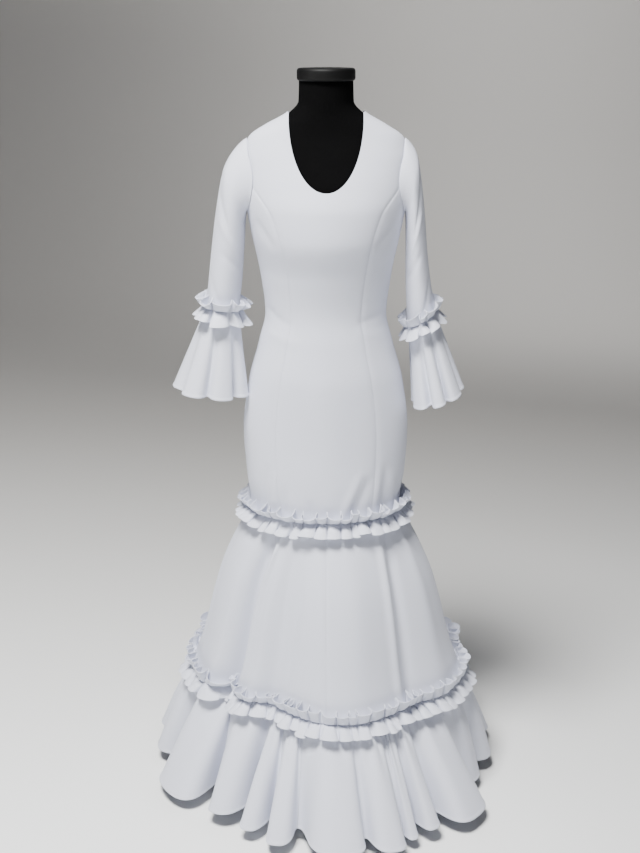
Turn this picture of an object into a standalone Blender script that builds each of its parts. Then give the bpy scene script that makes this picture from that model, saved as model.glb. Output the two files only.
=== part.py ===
"""Flamenco dress on a limbless dress form that stands on a wooden tripod.

Metres, +Z up, and the front faces -Y. Left and right are the wearer's, so left is +X.
Angles round the body are degrees from the front, positive toward the wearer's left.
"""

import bisect
import math
from collections import namedtuple

import bmesh
import bpy
from mathutils import Vector

# Driving sizes
WALL = 0.0012
RUCHE_WALL = 0.0012
SEAM_GAP = 0.0003
RING_GAP = 0.0010
UPPER_RING_Z = 0.620
LOWER_RING_Z = 0.235
HEM_Z = 0.030
HEM_DIP = 0.004
FLOUNCE_BOW = 0.006

# Neckline and armholes of the bodice
NECK_FRONT_Z = 1.293
SHOULDER_NECK_Z = 1.440
ARM_MID_Z = 1.3165
ARM_HALF_HEIGHT = 0.0715
ARM_DEPTH_DEG = 32.0
ARM_TOP_Z = ARM_MID_Z + ARM_HALF_HEIGHT
PRINCESS_TOP_Z = 1.300
PRINCESS_END_Z = 1.296

# Ruches: a strip gathered along its middle, with both edges free
RUCHE_HALF_HEIGHT = 0.024
RUCHE_LIFT = 0.0055
SKIRT_FRILL = 0.016
SLEEVE_FRILL = 0.013
FRILL_WAVE = 0.0055
STITCH_WAVE = 0.0006
UPPER_PLEATS = 40
LOWER_PLEATS = 66
SLEEVE_PLEATS = 13

# Dress form and stand
FORM_INSET = 0.006
FORM_BOTTOM_Z = 0.700
NECK_TOP_Z = 1.4987
FORM_COLUMNS = 28
FORM_ROWS = [
    FORM_BOTTOM_Z, 0.76, 0.83, 0.90, 0.97, 1.04, 1.11, 1.18, 1.23, 1.28,
    1.33, 1.37, 1.395, 1.42, 1.445, 1.47, NECK_TOP_Z,
]
CAP_BOTTOM_Z = 1.4990
CAP_TOP_Z = 1.523
CAP_RADIUS = 0.0575
POLE_RADIUS = 0.0125
HUB_TOP_Z = 0.372
HUB_BOTTOM_Z = 0.262
HUB_RADIUS = 0.030
LEG_THICKNESS = 0.028
LEG_BEVEL = 0.003
TOUCH_GAP = 0.0003

Section = namedtuple("Section", "height_m half_width_m front_m back_m")
BODY = [
    Section(0.600, 0.157, 0.129, 0.127),
    Section(0.645, 0.160, 0.128, 0.125),
    Section(0.700, 0.168, 0.125, 0.130),
    Section(0.790, 0.173, 0.118, 0.135),
    Section(0.900, 0.160, 0.115, 0.120),
    Section(0.980, 0.138, 0.103, 0.100),
    Section(1.040, 0.124, 0.095, 0.088),
    Section(1.120, 0.133, 0.108, 0.092),
    Section(1.200, 0.150, 0.132, 0.098),
    Section(1.250, 0.160, 0.128, 0.100),
    Section(1.300, 0.168, 0.108, 0.098),
    Section(1.350, 0.170, 0.082, 0.088),
    Section(1.380, 0.160, 0.068, 0.076),
    Section(1.395, 0.150, 0.062, 0.070),
    Section(1.415, 0.120, 0.058, 0.065),
    Section(1.440, 0.077, 0.056, 0.059),
    Section(1.460, 0.0605, 0.0565, 0.0585),
    Section(1.520, 0.0590, 0.0555, 0.0575),
]

Seam = namedtuple("Seam", "height_m from_centre_deg")
PRINCESS = [
    Seam(0.600, 37.0),
    Seam(0.790, 37.0),
    Seam(1.040, 35.0),
    Seam(1.180, 37.0),
    Seam(1.250, 43.0),
    Seam(PRINCESS_TOP_Z, 59.0),
]

Neck = namedtuple("Neck", "height_m half_width_m")
NECK_FRONT = [
    Neck(NECK_FRONT_Z, 0.0),
    Neck(1.300, 0.026),
    Neck(1.320, 0.047),
    Neck(1.355, 0.061),
    Neck(1.400, 0.070),
    Neck(SHOULDER_NECK_Z, 0.0735),
]
NECK_BACK = [
    Neck(ARM_TOP_Z, 0.0),
    Neck(1.396, 0.040),
    Neck(1.415, 0.064),
    Neck(SHOULDER_NECK_Z, 0.0735),
]

ARM_LOW_Z = ARM_MID_Z - ARM_HALF_HEIGHT
PANEL_ROWS = [0.67, 0.73, 0.79, 0.86, 0.93, 0.985, 1.04, 1.10, 1.16, 1.205, ARM_LOW_Z, 1.272]
YOKE_ROWS = [NECK_FRONT_Z, PRINCESS_TOP_Z, 1.325, 1.355, 1.376]
SHOULDER_ROWS = [ARM_TOP_Z, 1.396, 1.415, 1.429, SHOULDER_NECK_Z]

# Skirt tier: how far it has flared from the hip ring to the lower ring, and how its grain leans
Flare = namedtuple("Flare", "height_m share")
FLARE = [
    Flare(LOWER_RING_Z - 0.03, 1.06),
    Flare(LOWER_RING_Z, 1.0),
    Flare(0.315, 0.80),
    Flare(0.420, 0.615),
    Flare(0.474, 0.50),
    Flare(0.530, 0.33),
    Flare(UPPER_RING_Z, 0.0),
]
Grain = namedtuple("Grain", "bottom_deg top_deg")
GRAIN = [
    Grain(-180.0, -180.0),
    Grain(-90.0, -82.0),
    Grain(-57.0, -32.0),
    Grain(-30.0, -15.0),
    Grain(0.0, 0.0),
    Grain(38.0, 45.0),
    Grain(90.0, 90.0),
    Grain(180.0, 180.0),
]

# Lower ring, where the tier, the flounce and the lower ruche meet
Ring = namedtuple("Ring", "around_deg reach_m")
LOWER_RING = [
    Ring(-172.0, 0.300),
    Ring(-160.0, 0.322),
    Ring(-145.0, 0.312),
    Ring(-128.0, 0.340),
    Ring(-112.0, 0.294),
    Ring(-98.0, 0.300),
    Ring(-84.0, 0.286),
    Ring(-70.0, 0.277),
    Ring(-59.0, 0.2135),
    Ring(-54.0, 0.235),
    Ring(-45.0, 0.241),
    Ring(-32.0, 0.215),
    Ring(-15.0, 0.240),
    Ring(2.0, 0.272),
    Ring(15.0, 0.2775),
    Ring(27.0, 0.2690),
    Ring(42.0, 0.2605),
    Ring(62.0, 0.292),
    Ring(84.0, 0.302),
    Ring(100.0, 0.290),
    Ring(118.0, 0.324),
    Ring(134.0, 0.306),
    Ring(152.0, 0.330),
    Ring(170.0, 0.304),
]
FULL_TURN = 360.0

# Hem of the flounce: one row a fold, from the valley on its right side to the wearer's left.
# A bulge opens the fold's side over the valley beside it.
Fold = namedtuple("Fold", "valley_deg valley_out crest_deg crest_out bulge_before_deg bulge_after_deg")
HEM_FOLDS = [
    Fold(-171.0, 0.310, -162.0, 0.428, 2.5, 2.5),
    Fold(-153.0, 0.312, -143.0, 0.418, 3.0, 2.0),
    Fold(-133.0, 0.318, -125.0, 0.420, 2.0, 3.0),
    Fold(-116.0, 0.296, -106.0, 0.398, 3.0, 3.0),
    Fold(-97.0, 0.300, -89.0, 0.383, 2.0, 2.0),
    Fold(-80.0, 0.292, -64.0, 0.393, 3.0, 9.0),
    Fold(-56.0, 0.272, -41.0, 0.367, -2.0, 3.0),
    Fold(-31.0, 0.250, -26.5, 0.376, 1.5, 1.5),
    Fold(-20.5, 0.302, -15.5, 0.398, 1.5, 2.0),
    Fold(-10.0, 0.336, 4.5, 0.431, 2.0, 3.0),
    Fold(12.0, 0.378, 19.0, 0.434, 1.5, 1.5),
    Fold(24.0, 0.382, 26.5, 0.407, 0.5, 0.5),
    Fold(30.0, 0.356, 33.5, 0.406, 1.0, 1.0),
    Fold(38.5, 0.350, 46.0, 0.429, 2.0, 4.0),
    Fold(60.0, 0.338, 68.0, 0.363, 1.0, 1.0),
    Fold(75.0, 0.322, 83.0, 0.376, 2.0, 2.5),
    Fold(93.0, 0.302, 103.0, 0.388, 2.5, 3.0),
    Fold(113.0, 0.300, 122.0, 0.408, 3.0, 2.0),
    Fold(131.0, 0.316, 140.0, 0.410, 2.0, 3.0),
    Fold(150.0, 0.318, 159.0, 0.424, 2.5, 2.5),
    Fold(169.0, 0.312, 179.0, 0.432, 3.0, 2.5),
]
FOLD_STEPS = 6
CREST_FLATNESS = 2.6
OVERHANG_PEAK = 0.77
FLOUNCE_PIECES = [
    ("flounce_back_right", 0, 4),
    ("flounce_front_right", 4, 9),
    ("flounce_front_left", 9, 16),
    ("flounce_back_left", 16, 21),
]
FLOUNCE_ROWS = [0.45, 1.0]

# Sleeves: the outer and inner lines as seen from the front, for the wearer's left (x is mirrored on the right)
Sleeve = namedtuple("Sleeve", "share outer_x outer_z inner_x inner_z half_depth_m back_m")
SLEEVE_LEFT = [
    Sleeve(0.00, 0.160, 1.388, 0.160, 1.245, 0.052, 0.000),
    Sleeve(0.10, 0.1745, 1.374, 0.1605, 1.235, 0.056, 0.000),
    Sleeve(0.22, 0.1825, 1.351, 0.1610, 1.222, 0.057, -0.001),
    Sleeve(0.42, 0.1950, 1.270, 0.1620, 1.180, 0.055, -0.002),
    Sleeve(0.70, 0.2075, 1.148, 0.1640, 1.098, 0.051, -0.003),
    Sleeve(1.00, 0.2225, 1.046, 0.1700, 1.008, 0.047, -0.004),
]
SLEEVE_RIGHT = [
    Sleeve(0.00, 0.160, 1.388, 0.160, 1.245, 0.052, 0.000),
    Sleeve(0.10, 0.1850, 1.368, 0.1605, 1.235, 0.056, 0.000),
    Sleeve(0.22, 0.2040, 1.328, 0.1620, 1.222, 0.057, -0.001),
    Sleeve(0.42, 0.2200, 1.250, 0.1650, 1.180, 0.055, -0.002),
    Sleeve(0.70, 0.2340, 1.150, 0.1700, 1.120, 0.051, -0.003),
    Sleeve(1.00, 0.2450, 1.053, 0.1790, 1.046, 0.047, -0.004),
]
SLEEVE_HEAD_SHARE = 0.22
ARMHOLE_LIFT = 0.0024
SLEEVE_ROWS = [0.0, 0.08, 0.22, 0.45, 0.72, 0.985]
SLEEVE_COLUMNS = 16

# Cuff flounces: the hem ring of each, and its folds as shares of that ring
Cuff = namedtuple("Cuff", "centre_x centre_y centre_z half_width_m rise_m half_depth_m")
CUFF_LEFT = Cuff(0.2330, -0.008, 0.8620, 0.054, 0.019, 0.088)
CUFF_RIGHT = Cuff(0.2370, -0.016, 0.8760, 0.079, 0.008, 0.080)
CUFF_FOLDS_LEFT = [
    Fold(20.0, 0.80, 48.0, 1.06, 4.0, 6.0),
    Fold(72.0, 0.74, 92.0, 1.04, 5.0, 5.0),
    Fold(112.0, 0.70, 142.0, 1.04, 6.0, 6.0),
    Fold(178.0, 0.74, 205.0, 1.00, 5.0, 5.0),
    Fold(232.0, 0.72, 262.0, 1.04, 6.0, 6.0),
    Fold(292.0, 0.74, 322.0, 1.03, 6.0, 6.0),
    Fold(352.0, 0.78, 366.0, 1.02, 3.0, 3.0),
]
CUFF_FOLDS_RIGHT = [
    Fold(30.0, 0.84, 58.0, 1.04, 4.0, 8.0),
    Fold(84.0, 0.70, 112.0, 1.04, 5.0, 5.0),
    Fold(138.0, 0.72, 162.0, 1.00, 6.0, 4.0),
    Fold(186.0, 0.66, 212.0, 0.84, 5.0, 5.0),
    Fold(240.0, 0.70, 268.0, 1.04, 6.0, 6.0),
    Fold(300.0, 0.74, 345.0, 1.04, 6.0, 5.0),
]
CUFF_ROWS = [0.015, 0.5, 1.0]
CUFF_STEPS = 5

# A leg is cut from a board: its outline, and where the three legs point
Board = namedtuple("Board", "reach_m top_m bottom_m")
LEG = [
    Board(0.0303, 0.358, 0.280),
    Board(0.060, 0.330, 0.235),
    Board(0.095, 0.262, 0.162),
    Board(0.130, 0.185, 0.102),
    Board(0.170, 0.112, 0.050),
    Board(0.205, 0.062, 0.014),
    Board(0.232, 0.030, 0.000),
    Board(0.262, 0.021, 0.000),
]
LEGS = [("stand_leg_front", -32.0), ("stand_leg_side", 88.0), ("stand_leg_back", 208.0)]

CREPE = ((0.84, 0.85, 0.88), 0.62, 0.0)
JERSEY = ((0.012, 0.012, 0.013), 0.70, 0.0)
CAP_BLACK = ((0.015, 0.015, 0.016), 0.35, 0.0)
STEEL_BLACK = ((0.03, 0.03, 0.032), 0.38, 0.8)
WALNUT = ((0.12, 0.045, 0.022), 0.38, 0.0)


def smooth(rows, column, where, period=0.0):
    """Monotone cubic through a table, whose first column is the position. A period closes the table."""
    positions = [row[0] for row in rows]
    values = [getattr(row, column) for row in rows]
    if period:
        where = positions[0] + (where - positions[0]) % period
        positions = [positions[-1] - period, *positions, positions[0] + period, positions[1] + period]
        values = [values[-1], *values, values[0], values[1]]
    where = min(max(where, positions[0]), positions[-1])
    low = min(max(bisect.bisect_right(positions, where) - 1, 0), len(positions) - 2)

    def steepness(i):
        return (values[i + 1] - values[i]) / (positions[i + 1] - positions[i])

    def tangent(i):
        if i == 0:
            return steepness(0)
        if i == len(positions) - 1:
            return steepness(i - 1)
        before, after = steepness(i - 1), steepness(i)
        return 2 * before * after / (before + after) if before * after > 0 else 0.0

    length = positions[low + 1] - positions[low]
    t = (where - positions[low]) / length
    bend_low = tangent(low) * length
    bend_high = tangent(low + 1) * length
    return (
        (2 * t**3 - 3 * t**2 + 1) * values[low]
        + (t**3 - 2 * t**2 + t) * bend_low
        + (3 * t**2 - 2 * t**3) * values[low + 1]
        + (t**3 - t**2) * bend_high
    )


def spread(low, high, count):
    """count + 1 values from low to high."""
    return [low + (high - low) * i / count for i in range(count + 1)]


def material(name, look):
    """A Principled material of one colour, roughness and metallic value."""
    colour, roughness, metallic = look
    made = bpy.data.materials.new(name)
    made.use_nodes = True
    shader = made.node_tree.nodes["Principled BSDF"]
    shader.inputs["Base Color"].default_value = (*colour, 1.0)
    shader.inputs["Roughness"].default_value = roughness
    shader.inputs["Metallic"].default_value = metallic
    made.diffuse_color = (*colour, 1.0)
    return made


def outward(surface, u, v, step_u, step_v):
    """Unit normal of surface(u, v), from its own slopes."""
    along_u = surface(u + step_u, v) - surface(u - step_u, v)
    along_v = surface(u, v + step_v) - surface(u, v - step_v)
    return along_u.cross(along_v).normalized()


def seam_shift(surface, u, v, step):
    """How far u moves to leave half a seam's gap at surface(u, v)."""
    speed = (surface(u + step, v) - surface(u - step, v)).length / (2 * step)
    return SEAM_GAP / 2 / speed


def between_seams(surface, start, end, v, count, step):
    """A row of count + 1 places from one seam to the next, short of both by half the gap."""
    low = start + seam_shift(surface, start, v, step)
    high = end - seam_shift(surface, end, v, step)
    return [(u, v) for u in spread(low, high, count)]


def outer_split(a, b, c, d):
    """Two triangles of a quad, folded along its diagonal that lies further from the dress's axis."""
    if (a.co + c.co).xy.length >= (b.co + d.co).xy.length:
        return (a, b, c), (a, c, d)
    return (a, b, d), (b, c, d)


def wall(name, surface, patches, thickness, look, steps, closed=False):
    """A cloth wall: both faces lie half its thickness off the surface and fold along the same lines.

    A patch is a grid of (u, v) places. closed joins each row's end to its start.
    """
    shell = bmesh.new()
    offsets = {}
    for grid in patches:
        rows = []
        for row in grid:
            corners = []
            for u, v in row:
                point = surface(u, v)
                corner = shell.verts.new(point)
                spot_key = tuple(round(c, 7) for c in corner.co)
                offsets[spot_key] = outward(surface, u, v, *steps) * thickness / 2
                corners.append(corner)
            rows.append(corners + corners[:1] if closed else corners)
        for lower, upper in zip(rows, rows[1:]):
            for a, b, c, d in zip(lower, lower[1:], upper[1:], upper):
                for corners in outer_split(a, b, c, d):
                    shell.faces.new(corners)
    bmesh.ops.remove_doubles(shell, verts=shell.verts[:], dist=1e-6)
    add_back(shell, offsets)
    return place(name, shell, look)


def add_back(shell, offsets):
    """Gives an open surface its thickness and its rims."""
    front_faces = shell.faces[:]
    rims = [edge for edge in shell.edges if edge.is_boundary]
    backs = {}
    for corner in shell.verts[:]:
        shift = offsets[tuple(round(c, 7) for c in corner.co)]
        backs[corner] = shell.verts.new(corner.co - shift)
        corner.co += shift
    for face in front_faces:
        shell.faces.new([backs[corner] for corner in reversed(face.verts)])
    for edge in rims:
        a, b = edge.verts
        shell.faces.new((a, b, backs[b], backs[a]))
    bmesh.ops.recalc_face_normals(shell, faces=shell.faces[:])


def place(name, shape, look):
    """Makes a bmesh an object of the part, with its material."""
    mesh = bpy.data.meshes.new(name)
    shape.to_mesh(mesh)
    shape.free()
    made = bpy.data.objects.new(name, mesh)
    mesh.materials.append(look)
    mesh.shade_smooth()
    mesh.set_sharp_from_angle(angle=math.radians(60))
    parts.objects.link(made)
    return made


# The body that the bodice and hips follow


def body_point(around_deg, height):
    """Middle of the bodice's wall at an angle and a height."""
    angle = math.radians(around_deg)
    depth = "front_m" if math.cos(angle) >= 0 else "back_m"
    return Vector((
        smooth(BODY, "half_width_m", height) * math.sin(angle),
        -smooth(BODY, depth, height) * math.cos(angle),
        height,
    ))


def off_body(around_deg, height, out):
    return body_point(around_deg, height) + outward(body_point, around_deg, height, 0.5, 0.002) * out


def seam_inset(height):
    """Half a seam's gap, in degrees round the body."""
    return math.degrees(SEAM_GAP / 2 / smooth(BODY, "front_m", height))


def armhole_deg(height):
    """Angle from the centre front or back at which the armhole cuts the bodice."""
    share = (height - ARM_MID_Z) / ARM_HALF_HEIGHT
    return 90.0 - ARM_DEPTH_DEG * math.sqrt(max(0.0, 1.0 - share * share))


def outer_deg(height):
    """Outer edge of a centre panel: princess seam, then armhole, then shoulder seam."""
    if height < PRINCESS_TOP_Z:
        return smooth(PRINCESS, "from_centre_deg", height)
    return armhole_deg(height)


def neck_deg(rows, height):
    """Angle from the centre at which the neckline cuts the bodice."""
    share = smooth(rows, "half_width_m", height) / smooth(BODY, "half_width_m", height)
    return math.degrees(math.asin(min(share, 1.0)))


def side_rows(ends):
    """Grid of a side panel between its princess seam and its side seam, then the armhole."""
    grid = []
    for height in [UPPER_RING_Z + RING_GAP / 2, *PANEL_ROWS, PRINCESS_END_Z]:
        inset = seam_inset(height)
        low = smooth(PRINCESS, "from_centre_deg", height) + inset
        high = armhole_deg(height) - inset
        grid.append([(ends(angle), height) for angle in spread(low, high, 4)])
    return grid


def build_bodice(crepe):
    steps = (0.5, 0.002)
    heights = [UPPER_RING_Z + RING_GAP / 2, *PANEL_ROWS]
    lower = []
    for height in [*heights, NECK_FRONT_Z]:
        edge = outer_deg(height) - seam_inset(height)
        lower.append([(angle, height) for angle in spread(-edge, edge, 6)])
    patches = [lower]
    for side in (-1, 1):
        strap = []
        for height in YOKE_ROWS + SHOULDER_ROWS:
            edge = outer_deg(height) - seam_inset(height)
            strap.append([(side * a, height) for a in spread(neck_deg(NECK_FRONT, height), edge, 3)])
        patches.append(strap)
    wall("front_centre", body_point, patches, WALL, crepe, steps)

    for word, side in (("left", 1), ("right", -1)):
        wall(f"front_side_{word}", body_point, [side_rows(lambda a: side * a)], WALL, crepe, steps)
        wall(f"back_side_{word}", body_point, [side_rows(lambda a: side * (180 - a))], WALL, crepe, steps)
        back = []
        for height in [*heights, *YOKE_ROWS, *SHOULDER_ROWS]:
            inset = seam_inset(height)
            inner = max(neck_deg(NECK_BACK, height), inset)
            edge = outer_deg(height) - inset
            back.append([(side * (180 - a), height) for a in spread(inner, edge, 3)])
        wall(f"back_{word}", body_point, [back], WALL, crepe, steps)


# Skirt tier and flounce


def lower_ring(around_deg):
    """Point of the lower ring at an angle."""
    angle = math.radians(around_deg)
    reach = smooth(LOWER_RING, "reach_m", around_deg, FULL_TURN)
    return Vector((reach * math.sin(angle), -reach * math.cos(angle), LOWER_RING_Z))


def top_deg(around_deg):
    """Angle on the upper ring of the grain line that reaches the lower ring at around_deg."""
    turn = (around_deg + 180.0) % FULL_TURN - 180.0
    return smooth(GRAIN, "top_deg", turn)


def bottom_deg(around_deg):
    """Angle on the lower ring of the grain line that leaves the upper ring at around_deg."""
    upward = [Grain(row.top_deg, row.bottom_deg) for row in GRAIN]
    turn = (around_deg + 180.0) % FULL_TURN - 180.0
    return smooth(upward, "top_deg", turn)


def skirt_point(around_deg, height):
    top = body_point(top_deg(around_deg), UPPER_RING_Z)
    spot = top.lerp(lower_ring(around_deg), smooth(FLARE, "share", height))
    spot.z = height
    return spot


def gore_angles(start, end):
    """Angles across a gore: its seams, the lower ring's folds between them, and halfway between those."""
    knots = [start, *(row.around_deg for row in LOWER_RING if start < row.around_deg < end), end]
    halves = [(a + b) / 2 for a, b in zip(knots, knots[1:])]
    return sorted(knots + halves)


def build_tier(crepe):
    heights = [UPPER_RING_Z - RING_GAP / 2, 0.555, 0.474, 0.360, LOWER_RING_Z + RING_GAP / 2]
    gores = [("skirt_front_right", -90, 0), ("skirt_front_left", 0, 90)]
    gores += [("skirt_back_left", 90, 180), ("skirt_back_right", -180, -90)]
    for name, start, end in gores:
        angles = gore_angles(start, end)
        grid = []
        for height in reversed(heights):
            ends = between_seams(skirt_point, start, end, height, 1, 0.5)
            grid.append([ends[0], *((angle, height) for angle in angles[1:-1]), ends[1]])
        wall(name, skirt_point, [grid], WALL, crepe, (0.5, 0.004))


def fold_place(folds, count):
    """Plain angle, folded angle and reach of a folded hem. One fold is 1 long, and the hem is closed."""
    whole = math.floor(count)
    part = count - whole
    fold = folds[whole % len(folds)]
    after = folds[(whole + 1) % len(folds)]
    next_valley = after.valley_deg + (FULL_TURN if after.valley_deg < fold.valley_deg else 0.0)
    swell = 1 - abs(math.cos(math.pi * part)) ** CREST_FLATNESS
    if part < 0.5:
        angle = fold.valley_deg + (fold.crest_deg - fold.valley_deg) * 2 * part
        reach = fold.valley_out + (fold.crest_out - fold.valley_out) * swell
        bulge = fold.bulge_before_deg
    else:
        angle = fold.crest_deg + (next_valley - fold.crest_deg) * (2 * part - 1)
        reach = after.valley_out + (fold.crest_out - after.valley_out) * swell
        bulge = fold.bulge_after_deg
    overhang = math.sin(2 * math.pi * part) * math.sin(math.pi * part) / OVERHANG_PEAK
    return angle, angle - bulge * overhang, reach


def flounce_point(count, down):
    """Point of the bottom flounce: down is 0 at the lower ring and 1 at the hem."""
    plain, folded, reach = fold_place(HEM_FOLDS, count)
    angle = math.radians(folded)
    hem_z = HEM_Z + HEM_DIP * math.sin(2 * math.pi * count / 3)
    hem = Vector((reach * math.sin(angle), -reach * math.cos(angle), hem_z))
    spot = lower_ring(plain).lerp(hem, down)
    bow = FLOUNCE_BOW * math.sin(math.pi * min(max(down, 0.0), 1.0))
    return spot + Vector((math.sin(angle), -math.cos(angle), 0.0)) * bow


def build_flounce(crepe):
    down_gap = RING_GAP / 2 / (LOWER_RING_Z - HEM_Z)
    rows = [down_gap, *FLOUNCE_ROWS]
    for name, start, end in FLOUNCE_PIECES:
        steps = (end - start) * FOLD_STEPS
        grid = [between_seams(flounce_point, start, end, down, steps, 0.01) for down in reversed(rows)]
        wall(name, flounce_point, [grid], WALL, crepe, (0.02, 0.02))


# Sleeves and cuffs


def armhole_point(around_deg, out):
    """Point of the left armhole, 0 at the shoulder and 90 in front, off the bodice by out."""
    angle = math.radians(around_deg)
    height = ARM_MID_Z + ARM_HALF_HEIGHT * math.cos(angle)
    return off_body(90.0 - ARM_DEPTH_DEG * math.sin(angle), height, out)


def sleeve_point(rows, around_deg, down):
    """Point of a sleeve on the wearer's left: 0 outer, 90 front, 180 inner, and down to its end."""
    angle = math.radians(around_deg)
    outer = Vector((smooth(rows, "outer_x", down), 0.0, smooth(rows, "outer_z", down)))
    inner = Vector((smooth(rows, "inner_x", down), 0.0, smooth(rows, "inner_z", down)))
    depth = smooth(rows, "half_depth_m", down) * math.sin(angle)
    spot = (outer + inner) / 2 + (outer - inner) / 2 * math.cos(angle)
    spot.y = smooth(rows, "back_m", down) - depth
    share = min(max(down / SLEEVE_HEAD_SHARE, 0.0), 1.0)
    return armhole_point(around_deg, ARMHOLE_LIFT).lerp(spot, share * share * (3 - 2 * share))


def cuff_point(rows, cuff, folds, count, down):
    """Point of a cuff flounce: down is 0 at the sleeve's end and 1 at the hem."""
    plain, folded, reach = fold_place(folds, count)
    angle = math.radians(folded)
    out = math.cos(angle) * reach
    hem = Vector((
        cuff.centre_x + cuff.half_width_m * out,
        cuff.centre_y - cuff.half_depth_m * math.sin(angle) * reach,
        cuff.centre_z + cuff.rise_m * out,
    ))
    return sleeve_point(rows, plain, 1.0).lerp(hem, down)


def build_sleeves(crepe):
    sides = [("left", 1, SLEEVE_LEFT, CUFF_LEFT, CUFF_FOLDS_LEFT)]
    sides += [("right", -1, SLEEVE_RIGHT, CUFF_RIGHT, CUFF_FOLDS_RIGHT)]
    for word, side, rows, cuff, folds in sides:

        def mirrored(spot):
            return Vector((side * spot.x, spot.y, spot.z))

        def sleeve(around_deg, down):
            return mirrored(sleeve_point(rows, around_deg, down))

        def flounce(count, down):
            return mirrored(cuff_point(rows, cuff, folds, count, down))

        def ruche(around_deg, across):
            count = fold_count(folds, around_deg)
            wave = math.cos(math.radians(around_deg) * SLEEVE_PLEATS)
            if across >= 0:
                reach = across * RUCHE_HALF_HEIGHT / sleeve_length(rows)
                base, flat = (around_deg, 1.0 - reach), sleeve
                steps = (1.0, 0.01)
            else:
                reach = -across * RUCHE_HALF_HEIGHT / (smooth(rows, "outer_z", 1.0) - cuff.centre_z)
                base, flat = (count, reach), flounce
                steps = (0.05, 0.02)
            out = outward(flat, *base, *steps) * side
            return flat(*base) + out * ruche_out(across, wave, SLEEVE_FRILL)

        around = [FULL_TURN * i / SLEEVE_COLUMNS for i in range(SLEEVE_COLUMNS)]
        grid = [[(a, down) for a in around] for down in reversed(SLEEVE_ROWS)]
        wall(f"sleeve_{word}", sleeve, [grid], WALL, crepe, (1.0, 0.01), closed=True)
        counts = [i / CUFF_STEPS for i in range(len(folds) * CUFF_STEPS)]
        grid = [[(count, down) for count in counts] for down in reversed(CUFF_ROWS)]
        wall(f"cuff_flounce_{word}", flounce, [grid], WALL, crepe, (0.05, 0.02), closed=True)
        crests = [FULL_TURN * i / (2 * SLEEVE_PLEATS) for i in range(2 * SLEEVE_PLEATS)]
        grid = [[(a, across) for a in crests] for across in (-1.0, 0.0, 1.0)]
        wall(f"sleeve_ruche_{word}", ruche, [grid], RUCHE_WALL, crepe, (0.5, 0.05), closed=True)


def sleeve_length(rows):
    """Length of a sleeve's outer line."""
    first, last = rows[0], rows[-1]
    return math.hypot(last.outer_x - first.outer_x, last.outer_z - first.outer_z)


# Ruches


def ruche_out(across, wave, frill):
    """How far a ruche stands off its cloth: pinched at its stitch line and flared at its edges."""
    rise = abs(across) ** 1.3
    return RUCHE_LIFT + frill * rise + wave * (STITCH_WAVE + FRILL_WAVE * rise)


def fold_count(folds, around_deg):
    """Fold count at which a hem's plain angle is around_deg."""
    first = folds[0].valley_deg
    angle = first + (around_deg - first) % FULL_TURN
    for i, fold in enumerate(folds):
        after = folds[(i + 1) % len(folds)].valley_deg
        after += FULL_TURN if after < fold.valley_deg else 0.0
        if angle < fold.crest_deg:
            return i + 0.5 * (angle - fold.valley_deg) / (fold.crest_deg - fold.valley_deg)
        if angle < after:
            return i + 0.5 + 0.5 * (angle - fold.crest_deg) / (after - fold.crest_deg)
    return 0.0


def build_skirt_ruches(crepe):
    def lower(around_deg, across):
        angle = math.radians(around_deg)
        radial = Vector((math.sin(angle), -math.cos(angle), 0.0))
        if across >= 0:
            spot = skirt_point(around_deg, LOWER_RING_Z + across * RUCHE_HALF_HEIGHT)
        else:
            down = -across * RUCHE_HALF_HEIGHT / (LOWER_RING_Z - HEM_Z)
            spot = flounce_point(fold_count(HEM_FOLDS, around_deg), down)
        return spot + radial * ruche_out(across, math.cos(angle * LOWER_PLEATS), SKIRT_FRILL)

    def upper(around_deg, across):
        wave = math.cos(math.radians(around_deg) * UPPER_PLEATS)
        height = UPPER_RING_Z + across * RUCHE_HALF_HEIGHT
        flat, angle = (body_point, around_deg) if across >= 0 else (skirt_point, bottom_deg(around_deg))
        out = outward(flat, angle, height, 0.5, 0.004)
        return flat(angle, height) + out * ruche_out(across, wave, SKIRT_FRILL)

    ruches = [("ruche_lower", lower, LOWER_PLEATS), ("ruche_upper", upper, UPPER_PLEATS)]
    for name, surface, pleats in ruches:
        crests = [FULL_TURN * i / (2 * pleats) for i in range(2 * pleats)]
        grid = [[(a, across) for a in crests] for across in (-1.0, 0.0, 1.0)]
        wall(name, surface, [grid], RUCHE_WALL, crepe, (0.2, 0.05), closed=True)


# Dress form and stand


def build_form(jersey, cap_black):
    """The form's body follows the bodice a little inside it, up to the top of its neck."""
    torso = bmesh.new()
    rows = []
    for height in FORM_ROWS:
        row = []
        for i in range(FORM_COLUMNS):
            spot = body_point(FULL_TURN * i / FORM_COLUMNS, height)
            inward = Vector((spot.x, spot.y, 0.0)).normalized() * FORM_INSET
            row.append(torso.verts.new(spot - inward))
        rows.append(row)
    for low, high in zip(rows, rows[1:]):
        for i in range(FORM_COLUMNS):
            j = (i + 1) % FORM_COLUMNS
            torso.faces.new((low[i], low[j], high[j], high[i]))
    torso.faces.new(rows[0])
    torso.faces.new(rows[-1])
    bmesh.ops.recalc_face_normals(torso, faces=torso.faces[:])
    place("form_torso", torso, jersey)
    turned("form_neck_cap", [
        (0.0, CAP_TOP_Z),
        (CAP_RADIUS - 0.006, CAP_TOP_Z),
        (CAP_RADIUS - 0.002, CAP_TOP_Z - 0.002),
        (CAP_RADIUS, CAP_TOP_Z - 0.006),
        (CAP_RADIUS, CAP_BOTTOM_Z + 0.004),
        (CAP_RADIUS - 0.003, CAP_BOTTOM_Z),
        (0.0, CAP_BOTTOM_Z),
    ], cap_black)


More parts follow.
